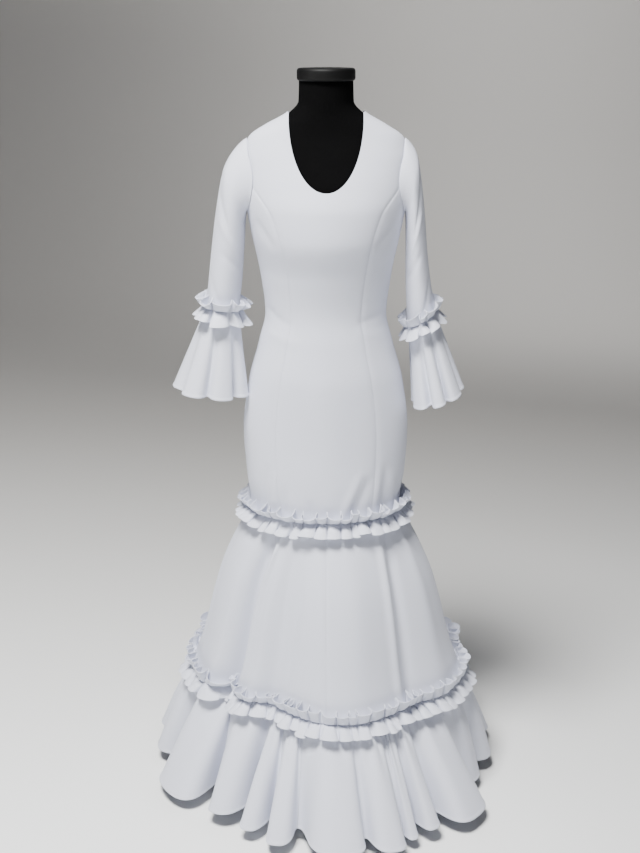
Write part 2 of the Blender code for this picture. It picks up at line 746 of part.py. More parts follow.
def turned(name, profile, look, steps=28):
    """A turned solid: the profile runs down its outer side at +X."""
    mesh = bpy.data.meshes.new(name)
    corners = [(radius, 0.0, height) for radius, height in profile]
    mesh.from_pydata(corners, [(i, i + 1) for i in range(len(corners) - 1)], [])
    made = bpy.data.objects.new(name, mesh)
    parts.objects.link(made)
    mesh.materials.append(look)
    screw = made.modifiers.new("turned", "SCREW")
    screw.axis = "Z"
    screw.steps = steps
    screw.render_steps = steps
    screw.use_merge_vertices = True
    screw.merge_threshold = 0.0001
    screw.use_smooth_shade = True
    return made


def build_stand(steel, walnut):
    pole_low = HUB_TOP_Z + TOUCH_GAP
    pole_high = FORM_BOTTOM_Z - TOUCH_GAP
    ends = [(0.0, pole_high), (POLE_RADIUS, pole_high), (POLE_RADIUS, pole_low), (0.0, pole_low)]
    turned("stand_pole", ends, steel, 20)
    turned("stand_hub", [
        (0.0, HUB_TOP_Z),
        (0.017, HUB_TOP_Z),
        (0.022, HUB_TOP_Z - 0.004),
        (HUB_RADIUS, HUB_TOP_Z - 0.009),
        (HUB_RADIUS, HUB_BOTTOM_Z + 0.014),
        (0.024, HUB_BOTTOM_Z + 0.007),
        (0.012, HUB_BOTTOM_Z),
        (0.0, HUB_BOTTOM_Z),
    ], walnut)
    for name, around_deg in LEGS:
        leg(name, around_deg, walnut)


def leg(name, around_deg, walnut):
    """A leg sawn from a board to its outline, with rounded edges, standing in its own upright plane."""
    outline = [(row.reach_m, row.top_m) for row in LEG]
    outline += [(row.reach_m, row.bottom_m) for row in reversed(LEG)]
    curve = bpy.data.curves.new(name, "CURVE")
    curve.dimensions = "2D"
    curve.fill_mode = "BOTH"
    curve.extrude = LEG_THICKNESS / 2
    spline = curve.splines.new("POLY")
    spline.points.add(len(outline) - 1)
    for point, (reach, height) in zip(spline.points, outline):
        point.co = (reach, height, 0.0, 1.0)
    spline.use_cyclic_u = True
    made = bpy.data.objects.new(name, curve)
    made.rotation_euler = (math.radians(90), 0.0, math.radians(around_deg - 90))
    curve.materials.append(walnut)
    parts.objects.link(made)
    weld = made.modifiers.new("weld", "WELD")
    weld.merge_threshold = 0.0001
    bevel = made.modifiers.new("rounded", "BEVEL")
    bevel.width = LEG_BEVEL
    bevel.segments = 2
    bevel.limit_method = "ANGLE"
    bevel.angle_limit = math.radians(50)
    return made


for old in list(bpy.data.objects):
    bpy.data.objects.remove(old, do_unlink=True)
parts = bpy.data.collections.new("flamenco_dress_on_form")
bpy.context.scene.collection.children.link(parts)

crepe_look = material("crepe", CREPE)
build_bodice(crepe_look)
build_sleeves(crepe_look)
build_tier(crepe_look)
build_flounce(crepe_look)
build_skirt_ruches(crepe_look)
build_form(material("form_jersey", JERSEY), material("form_cap", CAP_BLACK))
build_stand(material("stand_steel", STEEL_BLACK), material("stand_wood", WALNUT))
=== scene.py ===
"""Finished look of a white flamenco dress on a limbless dress form.

Metres, +Z up, the front faces -Y. Left and right are the wearer's, so left is +X.
Angles round the body are degrees from the front, positive toward the wearer's left.
Every cloth piece is a thin wall on the form of its own solid in the frame.
"""

import logging
import math
from dataclasses import dataclass
from enum import Enum
from typing import Callable, NamedTuple, Sequence

import bmesh
import bpy
import numpy as np
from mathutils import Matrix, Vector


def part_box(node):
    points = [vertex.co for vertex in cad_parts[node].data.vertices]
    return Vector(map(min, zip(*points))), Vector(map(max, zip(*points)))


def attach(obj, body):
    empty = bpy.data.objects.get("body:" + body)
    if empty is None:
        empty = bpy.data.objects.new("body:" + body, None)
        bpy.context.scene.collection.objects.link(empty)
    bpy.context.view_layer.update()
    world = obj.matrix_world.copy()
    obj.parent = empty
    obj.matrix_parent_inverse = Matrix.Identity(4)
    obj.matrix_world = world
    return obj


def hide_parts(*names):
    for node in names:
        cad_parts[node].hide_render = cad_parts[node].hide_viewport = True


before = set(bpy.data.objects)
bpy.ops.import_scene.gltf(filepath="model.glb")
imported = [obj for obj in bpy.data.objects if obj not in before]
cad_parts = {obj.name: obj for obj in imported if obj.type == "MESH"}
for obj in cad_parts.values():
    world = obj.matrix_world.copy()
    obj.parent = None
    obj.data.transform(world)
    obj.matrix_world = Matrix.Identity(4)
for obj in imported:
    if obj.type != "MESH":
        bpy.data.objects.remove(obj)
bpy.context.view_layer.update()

LOG = logging.getLogger("flamenco_dress")
Array = np.ndarray
Surface = Callable[[Array, Array], Array]

FULL_TURN = 360.0


class Side(Enum):
    """The wearer's side, as the sign of x."""

    LEFT = 1
    RIGHT = -1


class Hold(Enum):
    """How a sheet of cloth is held up."""

    DRAPED = "draped"
    HUNG = "hung"
    GATHERED = "gathered"


# Tables: one row for a section, seam, fold or crease


class Section(NamedTuple):
    """Body section at a height: half its width and its depth before and behind the middle."""

    height_m: float
    half_width_m: float
    front_m: float
    back_m: float


class Seam(NamedTuple):
    """Place of a princess seam at a height, counted from the centre front or back."""

    height_m: float
    from_centre_deg: float


class Flare(NamedTuple):
    """Share of the way from the hip ring to the lower ring that the tier has flared at a height."""

    height_m: float
    share: float


class Grain(NamedTuple):
    """A line down the tier: its angle on the lower ring and on the hip ring."""

    bottom_deg: float
    top_deg: float


class Ring(NamedTuple):
    """Reach of the lower ring at an angle."""

    around_deg: float
    reach_m: float


class Fold(NamedTuple):
    """A hem fold, from the valley on its right to the wearer's left, and how far its sides overhang."""

    valley_deg: float
    valley_out: float
    crest_deg: float
    crest_out: float
    bulge_before_deg: float
    bulge_after_deg: float


class SleeveRow(NamedTuple):
    """Sleeve section at a share of its length: outer and inner line from the front, and its depth."""

    share: float
    outer_x: float
    outer_z: float
    inner_x: float
    inner_z: float
    half_depth_m: float
    back_m: float


class Cuff(NamedTuple):
    """Hem ring of a cuff flounce."""

    centre_x: float
    centre_y: float
    centre_z: float
    half_width_m: float
    rise_m: float
    half_depth_m: float


class Crease(NamedTuple):
    """A soft ridge (rise above 0) or trough along a straight line on a laid-out piece."""

    start_deg: float
    start_z: float
    end_deg: float
    end_z: float
    half_width_m: float
    rise_m: float


class Wave(NamedTuple):
    """A slow wave through space, in radians a metre, and where it starts."""

    by_x: float
    by_y: float
    by_z: float
    phase: float


class Cut(NamedTuple):
    """Flat size of a piece of cloth before it was sewn."""

    width_m: float
    length_m: float
    area_m2: float


def table(kind: type, rows: Sequence[tuple[float, ...]]) -> tuple:
    """A table's rows, each given the names of its columns."""
    return tuple(kind(*row) for row in rows)


UPPER_RING_Z = 0.620
LOWER_RING_Z = 0.235
HEM_Z = 0.030
HEM_DIP = 0.004
FLOUNCE_BOW = 0.006
NECK_FRONT_Z = 1.293
SHOULDER_NECK_Z = 1.440
NECK_HALF_WIDTH = 0.0735
ARM_MID_Z = 1.3165
ARM_HALF_HEIGHT = 0.0715
ARM_TOP_Z = ARM_MID_Z + ARM_HALF_HEIGHT
ARM_DEPTH_DEG = 32.0
PRINCESS_TOP_Z = 1.300

BODY = table(Section, (
    (0.6, 0.157, 0.129, 0.127), (0.645, 0.16, 0.128, 0.125), (0.7, 0.168, 0.125, 0.13), (0.79, 0.173, 0.118, 0.135),
    (0.9, 0.16, 0.115, 0.12), (0.98, 0.138, 0.103, 0.1), (1.04, 0.124, 0.095, 0.088), (1.12, 0.133, 0.108, 0.092),
    (1.2, 0.15, 0.132, 0.098), (1.25, 0.16, 0.128, 0.1), (1.3, 0.168, 0.108, 0.098), (1.35, 0.17, 0.082, 0.088),
    (1.38, 0.16, 0.068, 0.076), (1.395, 0.15, 0.062, 0.07), (1.415, 0.12, 0.058, 0.065),
    (1.44, 0.077, 0.056, 0.059), (1.46, 0.0605, 0.0565, 0.0585), (1.52, 0.059, 0.0555, 0.0575),
))
PRINCESS = table(Seam, (
    (0.6, 37.0), (0.79, 37.0), (1.04, 35.0), (1.18, 37.0), (1.25, 43.0), (PRINCESS_TOP_Z, 59.0),
))
FLARE = table(Flare, (
    (LOWER_RING_Z - 0.03, 1.06), (LOWER_RING_Z, 1.0), (0.315, 0.8), (0.42, 0.615), (0.474, 0.5), (0.53, 0.33),
    (UPPER_RING_Z, 0.0),
))
GRAIN = table(Grain, (
    (-180.0, -180.0), (-90.0, -82.0), (-57.0, -32.0), (-30.0, -15.0), (0.0, 0.0), (38.0, 45.0), (90.0, 90.0),
    (180.0, 180.0),
))
LOWER_RING = table(Ring, (
    (-172.0, 0.3), (-160.0, 0.322), (-145.0, 0.312), (-128.0, 0.34), (-112.0, 0.294), (-98.0, 0.3), (-84.0, 0.286),
    (-70.0, 0.277), (-59.0, 0.2135), (-54.0, 0.235), (-45.0, 0.241), (-32.0, 0.215), (-15.0, 0.24), (2.0, 0.272),
    (15.0, 0.2775), (27.0, 0.269), (42.0, 0.2605), (62.0, 0.292), (84.0, 0.302), (100.0, 0.29), (118.0, 0.324),
    (134.0, 0.306), (152.0, 0.33), (170.0, 0.304),
))
HEM_FOLDS = table(Fold, (
    (-171.0, 0.31, -162.0, 0.428, 2.5, 2.5), (-153.0, 0.312, -143.0, 0.418, 3.0, 2.0),
    (-133.0, 0.318, -125.0, 0.42, 2.0, 3.0), (-116.0, 0.296, -106.0, 0.398, 3.0, 3.0),
    (-97.0, 0.3, -89.0, 0.383, 2.0, 2.0), (-80.0, 0.292, -64.0, 0.393, 3.0, 9.0),
    (-56.0, 0.272, -41.0, 0.367, -2.0, 3.0), (-31.0, 0.25, -26.5, 0.376, 1.5, 1.5),
    (-20.5, 0.302, -15.5, 0.398, 1.5, 2.0), (-10.0, 0.336, 4.5, 0.431, 2.0, 3.0),
    (12.0, 0.378, 19.0, 0.434, 1.5, 1.5), (24.0, 0.382, 26.5, 0.407, 0.5, 0.5),
    (30.0, 0.356, 33.5, 0.406, 1.0, 1.0), (38.5, 0.35, 46.0, 0.429, 2.0, 4.0), (60.0, 0.338, 68.0, 0.363, 1.0, 1.0),
    (75.0, 0.322, 83.0, 0.376, 2.0, 2.5), (93.0, 0.302, 103.0, 0.388, 2.5, 3.0),
    (113.0, 0.3, 122.0, 0.408, 3.0, 2.0), (131.0, 0.316, 140.0, 0.41, 2.0, 3.0),
    (150.0, 0.318, 159.0, 0.424, 2.5, 2.5), (169.0, 0.312, 179.0, 0.432, 3.0, 2.5),
))
CREST_FLATNESS = 2.6
OVERHANG_PEAK = 0.77

SLEEVE_LEFT = table(SleeveRow, (
    (0.0, 0.16, 1.388, 0.16, 1.245, 0.052, 0.0), (0.1, 0.1745, 1.374, 0.1605, 1.235, 0.056, 0.0),
    (0.22, 0.1825, 1.351, 0.161, 1.222, 0.057, -0.001), (0.42, 0.195, 1.27, 0.162, 1.18, 0.055, -0.002),
    (0.7, 0.2075, 1.148, 0.164, 1.098, 0.051, -0.003), (1.0, 0.2225, 1.046, 0.17, 1.008, 0.047, -0.004),
))
SLEEVE_RIGHT = table(SleeveRow, (
    (0.0, 0.16, 1.388, 0.16, 1.245, 0.052, 0.0), (0.1, 0.185, 1.368, 0.1605, 1.235, 0.056, 0.0),
    (0.22, 0.204, 1.328, 0.162, 1.222, 0.057, -0.001), (0.42, 0.22, 1.25, 0.165, 1.18, 0.055, -0.002),
    (0.7, 0.234, 1.15, 0.17, 1.12, 0.051, -0.003), (1.0, 0.245, 1.053, 0.179, 1.046, 0.047, -0.004),
))
SLEEVE_HEAD_SHARE = 0.22
ARMHOLE_LIFT = 0.0024
CUFF_LEFT = Cuff(0.2330, -0.008, 0.8620, 0.054, 0.019, 0.088)
CUFF_RIGHT = Cuff(0.2370, -0.016, 0.8760, 0.079, 0.008, 0.080)
CUFF_FOLDS_LEFT = table(Fold, (
    (20.0, 0.8, 48.0, 1.06, 4.0, 6.0), (72.0, 0.74, 92.0, 1.04, 5.0, 5.0), (112.0, 0.7, 142.0, 1.04, 6.0, 6.0),
    (178.0, 0.74, 205.0, 1.0, 5.0, 5.0), (232.0, 0.72, 262.0, 1.04, 6.0, 6.0), (292.0, 0.74, 322.0, 1.03, 6.0, 6.0),
    (352.0, 0.78, 366.0, 1.02, 3.0, 3.0),
))
CUFF_FOLDS_RIGHT = table(Fold, (
    (30.0, 0.84, 58.0, 1.04, 4.0, 8.0), (84.0, 0.7, 112.0, 1.04, 5.0, 5.0), (138.0, 0.72, 162.0, 1.0, 6.0, 4.0),
    (186.0, 0.66, 212.0, 0.84, 5.0, 5.0), (240.0, 0.7, 268.0, 1.04, 6.0, 6.0), (300.0, 0.74, 345.0, 1.04, 6.0, 5.0),
))

# Creases on the hips, as (angle, height) from end to end
HIP_CREASES = table(Crease, (
    (-58.0, 0.6, -44.0, 0.74, 0.01, -0.003), (-50.0, 0.6, -35.0, 0.73, 0.007, 0.0026),
    (-34.0, 0.6, -31.0, 0.7, 0.006, -0.0022), (-27.0, 0.6, -25.0, 0.68, 0.007, 0.0016),
    (-8.0, 0.6, -12.0, 0.67, 0.01, -0.002), (8.0, 0.6, 26.0, 0.73, 0.008, 0.003),
    (16.0, 0.6, 34.0, 0.72, 0.01, -0.0028), (38.0, 0.6, 41.0, 0.73, 0.006, 0.0022),
    (48.0, 0.6, 47.0, 0.74, 0.008, -0.0026), (62.0, 0.6, 55.0, 0.72, 0.01, 0.0022),
    (84.0, 0.6, 76.0, 0.7, 0.012, -0.0022), (118.0, 0.6, 128.0, 0.71, 0.01, 0.0024),
    (142.0, 0.6, 144.0, 0.73, 0.01, -0.0026), (170.0, 0.6, 164.0, 0.7, 0.012, 0.002),
    (-166.0, 0.6, -158.0, 0.72, 0.01, -0.0024), (-140.0, 0.6, -146.0, 0.7, 0.009, 0.0024),
    (-112.0, 0.6, -120.0, 0.73, 0.012, -0.0022), (-84.0, 0.6, -78.0, 0.69, 0.01, 0.002),
))
WAIST_CREASES = table(Crease, (
    (-78.0, 1.06, -30.0, 1.02, 0.008, -0.0016), (-70.0, 1.01, -22.0, 0.99, 0.009, 0.0014),
    (80.0, 1.05, 28.0, 1.03, 0.008, -0.0018), (72.0, 1.0, 24.0, 1.01, 0.009, 0.0012),
    (110.0, 1.04, 158.0, 1.06, 0.01, -0.002), (-108.0, 1.05, -160.0, 1.04, 0.01, -0.0018),
    (-118.0, 1.01, -150.0, 1.02, 0.009, 0.0014), (64.0, 1.23, 40.0, 1.18, 0.01, -0.002),
    (-62.0, 1.24, -42.0, 1.18, 0.01, -0.002), (-6.0, 0.93, 8.0, 0.74, 0.03, 0.0022),
))
TIER_CREASES = table(Crease, (
    (-61.0, 0.66, -60.0, 0.18, 0.012, -0.009), (-53.0, 0.66, -52.0, 0.18, 0.009, 0.0065),
    (-20.0, 0.6, -24.0, 0.2, 0.02, -0.003), (33.0, 0.66, 38.0, 0.18, 0.009, 0.007),
    (41.0, 0.66, 45.0, 0.18, 0.013, -0.0085), (60.0, 0.6, 66.0, 0.2, 0.018, 0.003),
    (14.0, 0.58, 16.0, 0.3, 0.022, 0.0016), (106.0, 0.64, 110.0, 0.2, 0.016, -0.004),
    (140.0, 0.62, 136.0, 0.2, 0.018, 0.0036), (-150.0, 0.62, -152.0, 0.2, 0.016, -0.004),
    (-118.0, 0.64, -121.0, 0.2, 0.018, 0.0034), (-92.0, 0.62, -90.0, 0.22, 0.014, -0.0026),
))
SLEEVE_CREASES = table(Crease, (
    (20.0, 0.3, 110.0, 0.46, 0.01, -0.0022), (40.0, 0.42, 140.0, 0.55, 0.009, 0.0018),
    (60.0, 0.6, 170.0, 0.66, 0.01, -0.002), (10.0, 0.12, 60.0, 0.3, 0.012, 0.0016),
    (200.0, 0.4, 300.0, 0.52, 0.01, -0.0022), (230.0, 0.58, 330.0, 0.66, 0.009, 0.0018),
    (30.0, 0.78, 90.0, 0.98, 0.008, -0.0016), (-30.0, 0.8, 10.0, 1.0, 0.008, 0.0016),
))
DRIFT_WAVES = table(Wave, (
    (61.0, 0.0, 9.0, 0.0), (0.0, 53.0, -7.0, 1.3), (23.0, -17.0, 21.0, 0.7),
))
TALL_DRIFT_SHARE = 0.6
SLOW_DRIFT_SHARE = 0.4
RIM_ANGLE_DEG = 65.0
FAR_M = 1.0


@dataclass(frozen=True)
class Smooth:
    """Monotone cubic through one column of a table, closed on itself where it has a period."""

    at: tuple[float, ...]
    value: tuple[float, ...]
    period: float = 0.0

    @classmethod
    def column(cls, rows: Sequence[NamedTuple], name: str, period: float = 0.0) -> "Smooth":
        """Takes a named column, placed by the rows' first one.

        Args:
            rows: the table.
            name: the column to read.
            period: length after which the table repeats, or 0.

        Returns:
            The curve through the column.
        """
        return cls(tuple(row[0] for row in rows), tuple(getattr(row, name) for row in rows), period)

    def __call__(self, where: Array) -> Array:
        """Reads the curve.

        Args:
            where: places along it.

        Returns:
            Its values there.
        """
        at, value = np.array(self.at), np.array(self.value)
        where = np.asarray(where, float)
        if self.period:
            where = at[0] + np.mod(where - at[0], self.period)
            at = np.concatenate([[at[-1] - self.period], at, at[:2] + self.period])
            value = np.concatenate([value[-1:], value, value[:2]])
        where = np.clip(where, at[0], at[-1])
        steep = np.diff(value) / np.diff(at)
        product, total = steep[:-1] * steep[1:], steep[:-1] + steep[1:]
        inner = np.where(product > 0, 2 * product / np.where(product > 0, total, 1.0), 0.0)
        tangent = np.concatenate([steep[:1], inner, steep[-1:]])
        low = np.clip(np.searchsorted(at, where, side="right") - 1, 0, len(at) - 2)
        length = at[low + 1] - at[low]
        t = (where - at[low]) / length
        return (
            (2 * t**3 - 3 * t**2 + 1) * value[low]
            + (t**3 - 2 * t**2 + t) * tangent[low] * length
            + (3 * t**2 - 2 * t**3) * value[low + 1]
            + (t**3 - t**2) * tangent[low + 1] * length
        )


BODY_WIDTH = Smooth.column(BODY, "half_width_m")
BODY_FRONT = Smooth.column(BODY, "front_m")
BODY_BACK = Smooth.column(BODY, "back_m")
PRINCESS_DEG = Smooth.column(PRINCESS, "from_centre_deg")
FLARE_SHARE = Smooth.column(FLARE, "share")
GRAIN_TOP = Smooth.column(GRAIN, "top_deg")
RING_REACH = Smooth.column(LOWER_RING, "reach_m", FULL_TURN)


def polar(around_deg: Array, reach: Array, height: Array) -> Array:
    """Points at an angle from the front, a reach from the axis and a height."""
    angle = np.radians(around_deg)
    return np.stack(np.broadcast_arrays(reach * np.sin(angle), -reach * np.cos(angle), height), -1)


def body_surface(around_deg: Array, height: Array) -> Array:
    """Middle of the bodice's wall.

    Args:
        around_deg: angles from the front.
        height: heights above the floor.

    Returns:
        Points, one for each place.
    """
    angle = np.radians(around_deg)
    depth = np.where(np.cos(angle) >= 0, BODY_FRONT(height), BODY_BACK(height))
    across = BODY_WIDTH(height) * np.sin(angle)
    return np.stack(np.broadcast_arrays(across, -depth * np.cos(angle), height), -1)


def tier_surface(around_deg: Array, height: Array) -> Array:
    """Middle of the skirt tier's wall, by the angle at which its grain reaches the lower ring.

    Args:
        around_deg: angles round the piece.
        height: heights above the floor.

    Returns:
        Points on the wall.
    """
    turn = np.mod(around_deg + 180.0, FULL_TURN) - 180.0
    top = body_surface(GRAIN_TOP(turn), np.full_like(turn, UPPER_RING_Z))
    low = polar(around_deg, RING_REACH(around_deg), height)
    share = FLARE_SHARE(height)[..., None]
    spot = top * (1 - share) + low * share
    spot[..., 2] = height
    return spot


def grid_normals(points: Array, closed: bool) -> Array:
    """Unit normals of a grid of points, from its neighbours along rows and columns.

    Args:
        points: a grid of points.
        closed: whether each row joins its own start.

    Returns:
        Unit normals.
    """
    if closed:
        wide = np.concatenate([points[:, -1:], points, points[:, :1]], axis=1)
        along = wide[:, 2:] - wide[:, :-2]
    else:
        along = np.gradient(points, axis=1)
    cross = np.cross(along, np.gradient(points, axis=0))
    return cross / np.maximum(np.linalg.norm(cross, axis=-1, keepdims=True), 1e-12)


def relief(creases: Sequence[Crease], around_deg: Array, height: Array, degree_m: float) -> Array:
    """Height of the creases over the smooth cloth.

    Args:
        creases: the table of ridges and troughs.
        around_deg: places along the rows.
        height: places along the columns.
        degree_m: length of a degree on the laid-out piece.

    Returns:
        How far each place moves off the cloth, in metres.
    """
    total = np.zeros(np.broadcast(around_deg, height).shape)
    for crease in creases:
        span_x = (crease.end_deg - crease.start_deg) * degree_m
        span_z = crease.end_z - crease.start_z
        away_x = (np.mod(around_deg - crease.start_deg + 180.0, FULL_TURN) - 180.0) * degree_m
        away_z = height - crease.start_z
        share = np.clip((away_x * span_x + away_z * span_z) / (span_x**2 + span_z**2), 0.0, 1.0)
        apart = np.hypot(away_x - share * span_x, away_z - share * span_z)
        fade = 1.0 - np.abs(2 * share - 1.0) ** 3
        total += crease.rise_m * fade * np.exp(-((apart / crease.half_width_m) ** 2))
    return total


def drift(points: Array, amount: float) -> Array:
    """Slow unevenness of hanging cloth, as a distance off it at each point.

    Args:
        points: a grid of points.
        amount: how far the cloth strays, in metres.

    Returns:
        Distances off the cloth.
    """
    x, y, z = points[..., 0], points[..., 1], points[..., 2]
    across, deep, slow = (np.sin(w.by_x * x + w.by_y * y + w.by_z * z + w.phase) for w in DRIFT_WAVES)
    return amount * (TALL_DRIFT_SHARE * across * deep + SLOW_DRIFT_SHARE * slow)


# Finishes


def new_group(name: str, inputs: dict[str, tuple[str, object]], outputs: dict[str, str]) -> bpy.types.NodeTree:
    """Starts a shader node group.

    Args:
        name: its name.
        inputs: socket name to its type and default.
        outputs: socket name to its type.

    Returns:
        The empty group with its input and output nodes.
    """
    group = bpy.data.node_groups.new(name, "ShaderNodeTree")
    for label, (kind, default) in inputs.items():
        socket = group.interface.new_socket(label, in_out="INPUT", socket_type=kind)
        socket.default_value = default
    for label, kind in outputs.items():
        group.interface.new_socket(label, in_out="OUTPUT", socket_type=kind)
    group.nodes.new("NodeGroupInput").name = "in"
    group.nodes.new("NodeGroupOutput").name = "out"
    return group


def wire(tree: bpy.types.NodeTree, start: tuple[str, str | int], end: tuple[str, str | int]) -> None:
    """Links one named node's output to another's input; a socket is named or counted."""
    tree.links.new(tree.nodes[start[0]].outputs[start[1]], tree.nodes[end[0]].inputs[end[1]])


def put(tree: bpy.types.NodeTree, kind: str, name: str, **settings: object) -> bpy.types.Node:
    """Adds a node with its name and settings; a key that is an input socket's name sets that socket.

    Args:
        tree: the node tree.
        kind: its type.
        name: its name.
        settings: sockets and properties to set.

    Returns:
        The node.
    """
    node = tree.nodes.new(kind)
    node.name = name
    for key, value in settings.items():
        label = key.replace("_", " ")
        if label in node.inputs:
            node.inputs[label].default_value = value
        else:
            setattr(node, key, value)
    return node


def colour_sockets(mix: bpy.types.Node) -> list[bpy.types.NodeSocket]:
    """The two colour inputs of a mix node, then its colour output."""
    return [socket for socket in (*mix.inputs, *mix.outputs) if socket.type == "RGBA"]


@dataclass(frozen=True)
class SharedEffects:
    """Node groups that several materials use."""

    grain: bpy.types.NodeTree
    tone: bpy.types.NodeTree

    @classmethod
    def build(cls) -> "SharedEffects":
        """Builds each group once."""
        return cls(cls.cloth_grain(), cls.uneven_tone())

    @staticmethod
    def cloth_grain() -> bpy.types.NodeTree:
        """Pebbled surface of crepe or the rib of a knit: a height, and a mask of its hollows.

        Returns:
            The group.
        """
        group = new_group(
            "cloth_grain",
            {
                "Fineness": ("NodeSocketFloat", 900.0),
                "Stretch": ("NodeSocketVector", (1.0, 1.0, 0.6)),
                "Slub": ("NodeSocketFloat", 0.3),
            },
            {"Height": "NodeSocketFloat", "Hollows": "NodeSocketFloat"},
        )
        put(group, "ShaderNodeTexCoord", "place")
        put(group, "ShaderNodeVectorMath", "stretched", operation="MULTIPLY")
        put(group, "ShaderNodeTexVoronoi", "threads", feature="SMOOTH_F1")
        put(group, "ShaderNodeTexNoise", "slubs", Scale=60.0, Detail=4.0, Roughness=0.6)
        put(group, "ShaderNodeMix", "mixed", data_type="FLOAT")
        put(group, "ShaderNodeMapRange", "deep", From_Min=0.25, From_Max=0.75)
        wire(group, ("place", "Object"), ("stretched", "Vector"))
        wire(group, ("in", "Stretch"), ("stretched", 1))
        wire(group, ("stretched", "Vector"), ("threads", "Vector"))
        wire(group, ("in", "Fineness"), ("threads", "Scale"))
        wire(group, ("stretched", "Vector"), ("slubs", "Vector"))
        wire(group, ("in", "Slub"), ("mixed", "Factor"))
        wire(group, ("threads", "Distance"), ("mixed", "A"))
        wire(group, ("slubs", "Fac"), ("mixed", "B"))
        wire(group, ("mixed", "Result"), ("out", "Height"))
        wire(group, ("mixed", "Result"), ("deep", "Value"))
        wire(group, ("deep", "Result"), ("out", "Hollows"))
        return group

    @staticmethod
    def uneven_tone() -> bpy.types.NodeTree:
        """A base colour that wanders slowly toward a second one, with a finer mottle.

        Returns:
            The group.
        """
        group = new_group(
            "uneven_tone",
            {
                "Base": ("NodeSocketColor", (0.8, 0.8, 0.8, 1.0)),
                "Other": ("NodeSocketColor", (0.7, 0.7, 0.75, 1.0)),
                "Scale": ("NodeSocketFloat", 7.0),
                "Amount": ("NodeSocketFloat", 0.5),
            },
            {"Color": "NodeSocketColor", "Mask": "NodeSocketFloat"},
        )
        put(group, "ShaderNodeTexCoord", "place")
        put(group, "ShaderNodeTexNoise", "clouds", Detail=5.0, Roughness=0.55)
        put(group, "ShaderNodeMath", "share", operation="MULTIPLY")
        put(group, "ShaderNodeMix", "tint", data_type="RGBA")
        wire(group, ("place", "Object"), ("clouds", "Vector"))
        wire(group, ("in", "Scale"), ("clouds", "Scale"))
        wire(group, ("clouds", "Fac"), ("share", 0))
        wire(group, ("in", "Amount"), ("share", 1))
        wire(group, ("share", "Value"), ("tint", "Factor"))
        first, second, mixed = colour_sockets(group.nodes["tint"])
        group.links.new(group.nodes["in"].outputs["Base"], first)
        group.links.new(group.nodes["in"].outputs["Other"], second)
        group.links.new(mixed, group.nodes["out"].inputs["Color"])
        wire(group, ("share", "Value"), ("out", "Mask"))
        return group


@dataclass(frozen=True)
class Finish:
    """A material: its two tones, its gloss and the size and depth of its grain."""

    name: str
    base: tuple[float, float, float]
    other: tuple[float, float, float]
    roughness: float
    roughness_swing: float = 0.06
    metallic: float = 0.0
    sheen: float = 0.0
    sheen_roughness: float = 0.5
    coat: float = 0.0
    specular: float = 0.5
    tone_scale: float = 7.0
    tone_amount: float = 0.5
    fineness: float = 900.0
    stretch: tuple[float, float, float] = (1.0, 1.0, 0.6)
    slub: float = 0.3
    bump_m: float = 0.00012
    bump_strength: float = 0.35

    def material(self, effects: SharedEffects) -> bpy.types.Material:
        """Builds the material.

        Args:
            effects: the shared node groups.

        Returns:
            The finished material.
        """
        made = bpy.data.materials.new(self.name)
        made.use_nodes = True
        tree = made.node_tree
        shader = tree.nodes["Principled BSDF"]
        shader.name = "surface"
        for label, value in (
            ("Metallic", self.metallic), ("Sheen Weight", self.sheen), ("Sheen Roughness", self.sheen_roughness),
            ("Coat Weight", self.coat), ("Specular IOR Level", self.specular),
        ):
            shader.inputs[label].default_value = value
        put(
            tree, "ShaderNodeGroup", "tone", node_tree=effects.tone, Base=(*self.base, 1.0),
            Other=(*self.other, 1.0), Scale=self.tone_scale, Amount=self.tone_amount,
        )
        put(
            tree, "ShaderNodeGroup", "grain", node_tree=effects.grain, Fineness=self.fineness,
            Stretch=self.stretch, Slub=self.slub,
        )
        put(
            tree, "ShaderNodeMapRange", "gloss", To_Min=self.roughness - self.roughness_swing,
            To_Max=self.roughness + self.roughness_swing,
        )
        put(tree, "ShaderNodeBump", "relief", Strength=self.bump_strength, Distance=self.bump_m)
        wire(tree, ("tone", "Color"), ("surface", "Base Color"))
        wire(tree, ("grain", "Hollows"), ("gloss", "Value"))
        wire(tree, ("gloss", "Result"), ("surface", "Roughness"))
        wire(tree, ("grain", "Height"), ("relief", "Height"))
        wire(tree, ("relief", "Normal"), ("surface", "Normal"))
        return made


CREPE = Finish(
    "crepe", (0.68, 0.70, 0.79), (0.64, 0.655, 0.76), 0.68, sheen=0.10, sheen_roughness=0.45,
    tone_scale=5.0, tone_amount=0.35, bump_m=0.0002,
)
JERSEY = Finish(
    "form_jersey", (0.0012, 0.0012, 0.0013), (0.002, 0.002, 0.0022), 0.92, specular=0.05,
    tone_scale=9.0, fineness=620.0, stretch=(1.0, 1.0, 0.35), bump_m=0.0003, bump_strength=0.4,
)
CAP_BLACK = Finish(
    "form_cap", (0.0015, 0.0015, 0.0016), (0.003, 0.003, 0.003), 0.55, specular=0.2, tone_scale=20.0,
    fineness=300.0, stretch=(1.0, 1.0, 1.0), slub=0.8, bump_m=0.0001, bump_strength=0.15,
)
POLE_STEEL = Finish(
    "stand_steel", (0.020, 0.020, 0.022), (0.035, 0.034, 0.034), 0.34, metallic=0.7,
    tone_scale=30.0, fineness=400.0, stretch=(1.0, 1.0, 0.05), bump_m=0.0001, bump_strength=0.2,
)
WALNUT = Finish(
    "stand_wood", (0.14, 0.047, 0.022), (0.055, 0.018, 0.010), 0.36, roughness_swing=0.10, coat=0.35,
    tone_scale=16.0, tone_amount=1.0, fineness=160.0, stretch=(1.0, 1.0, 0.12), slub=0.6,
    bump_m=0.0004, bump_strength=0.35,
)


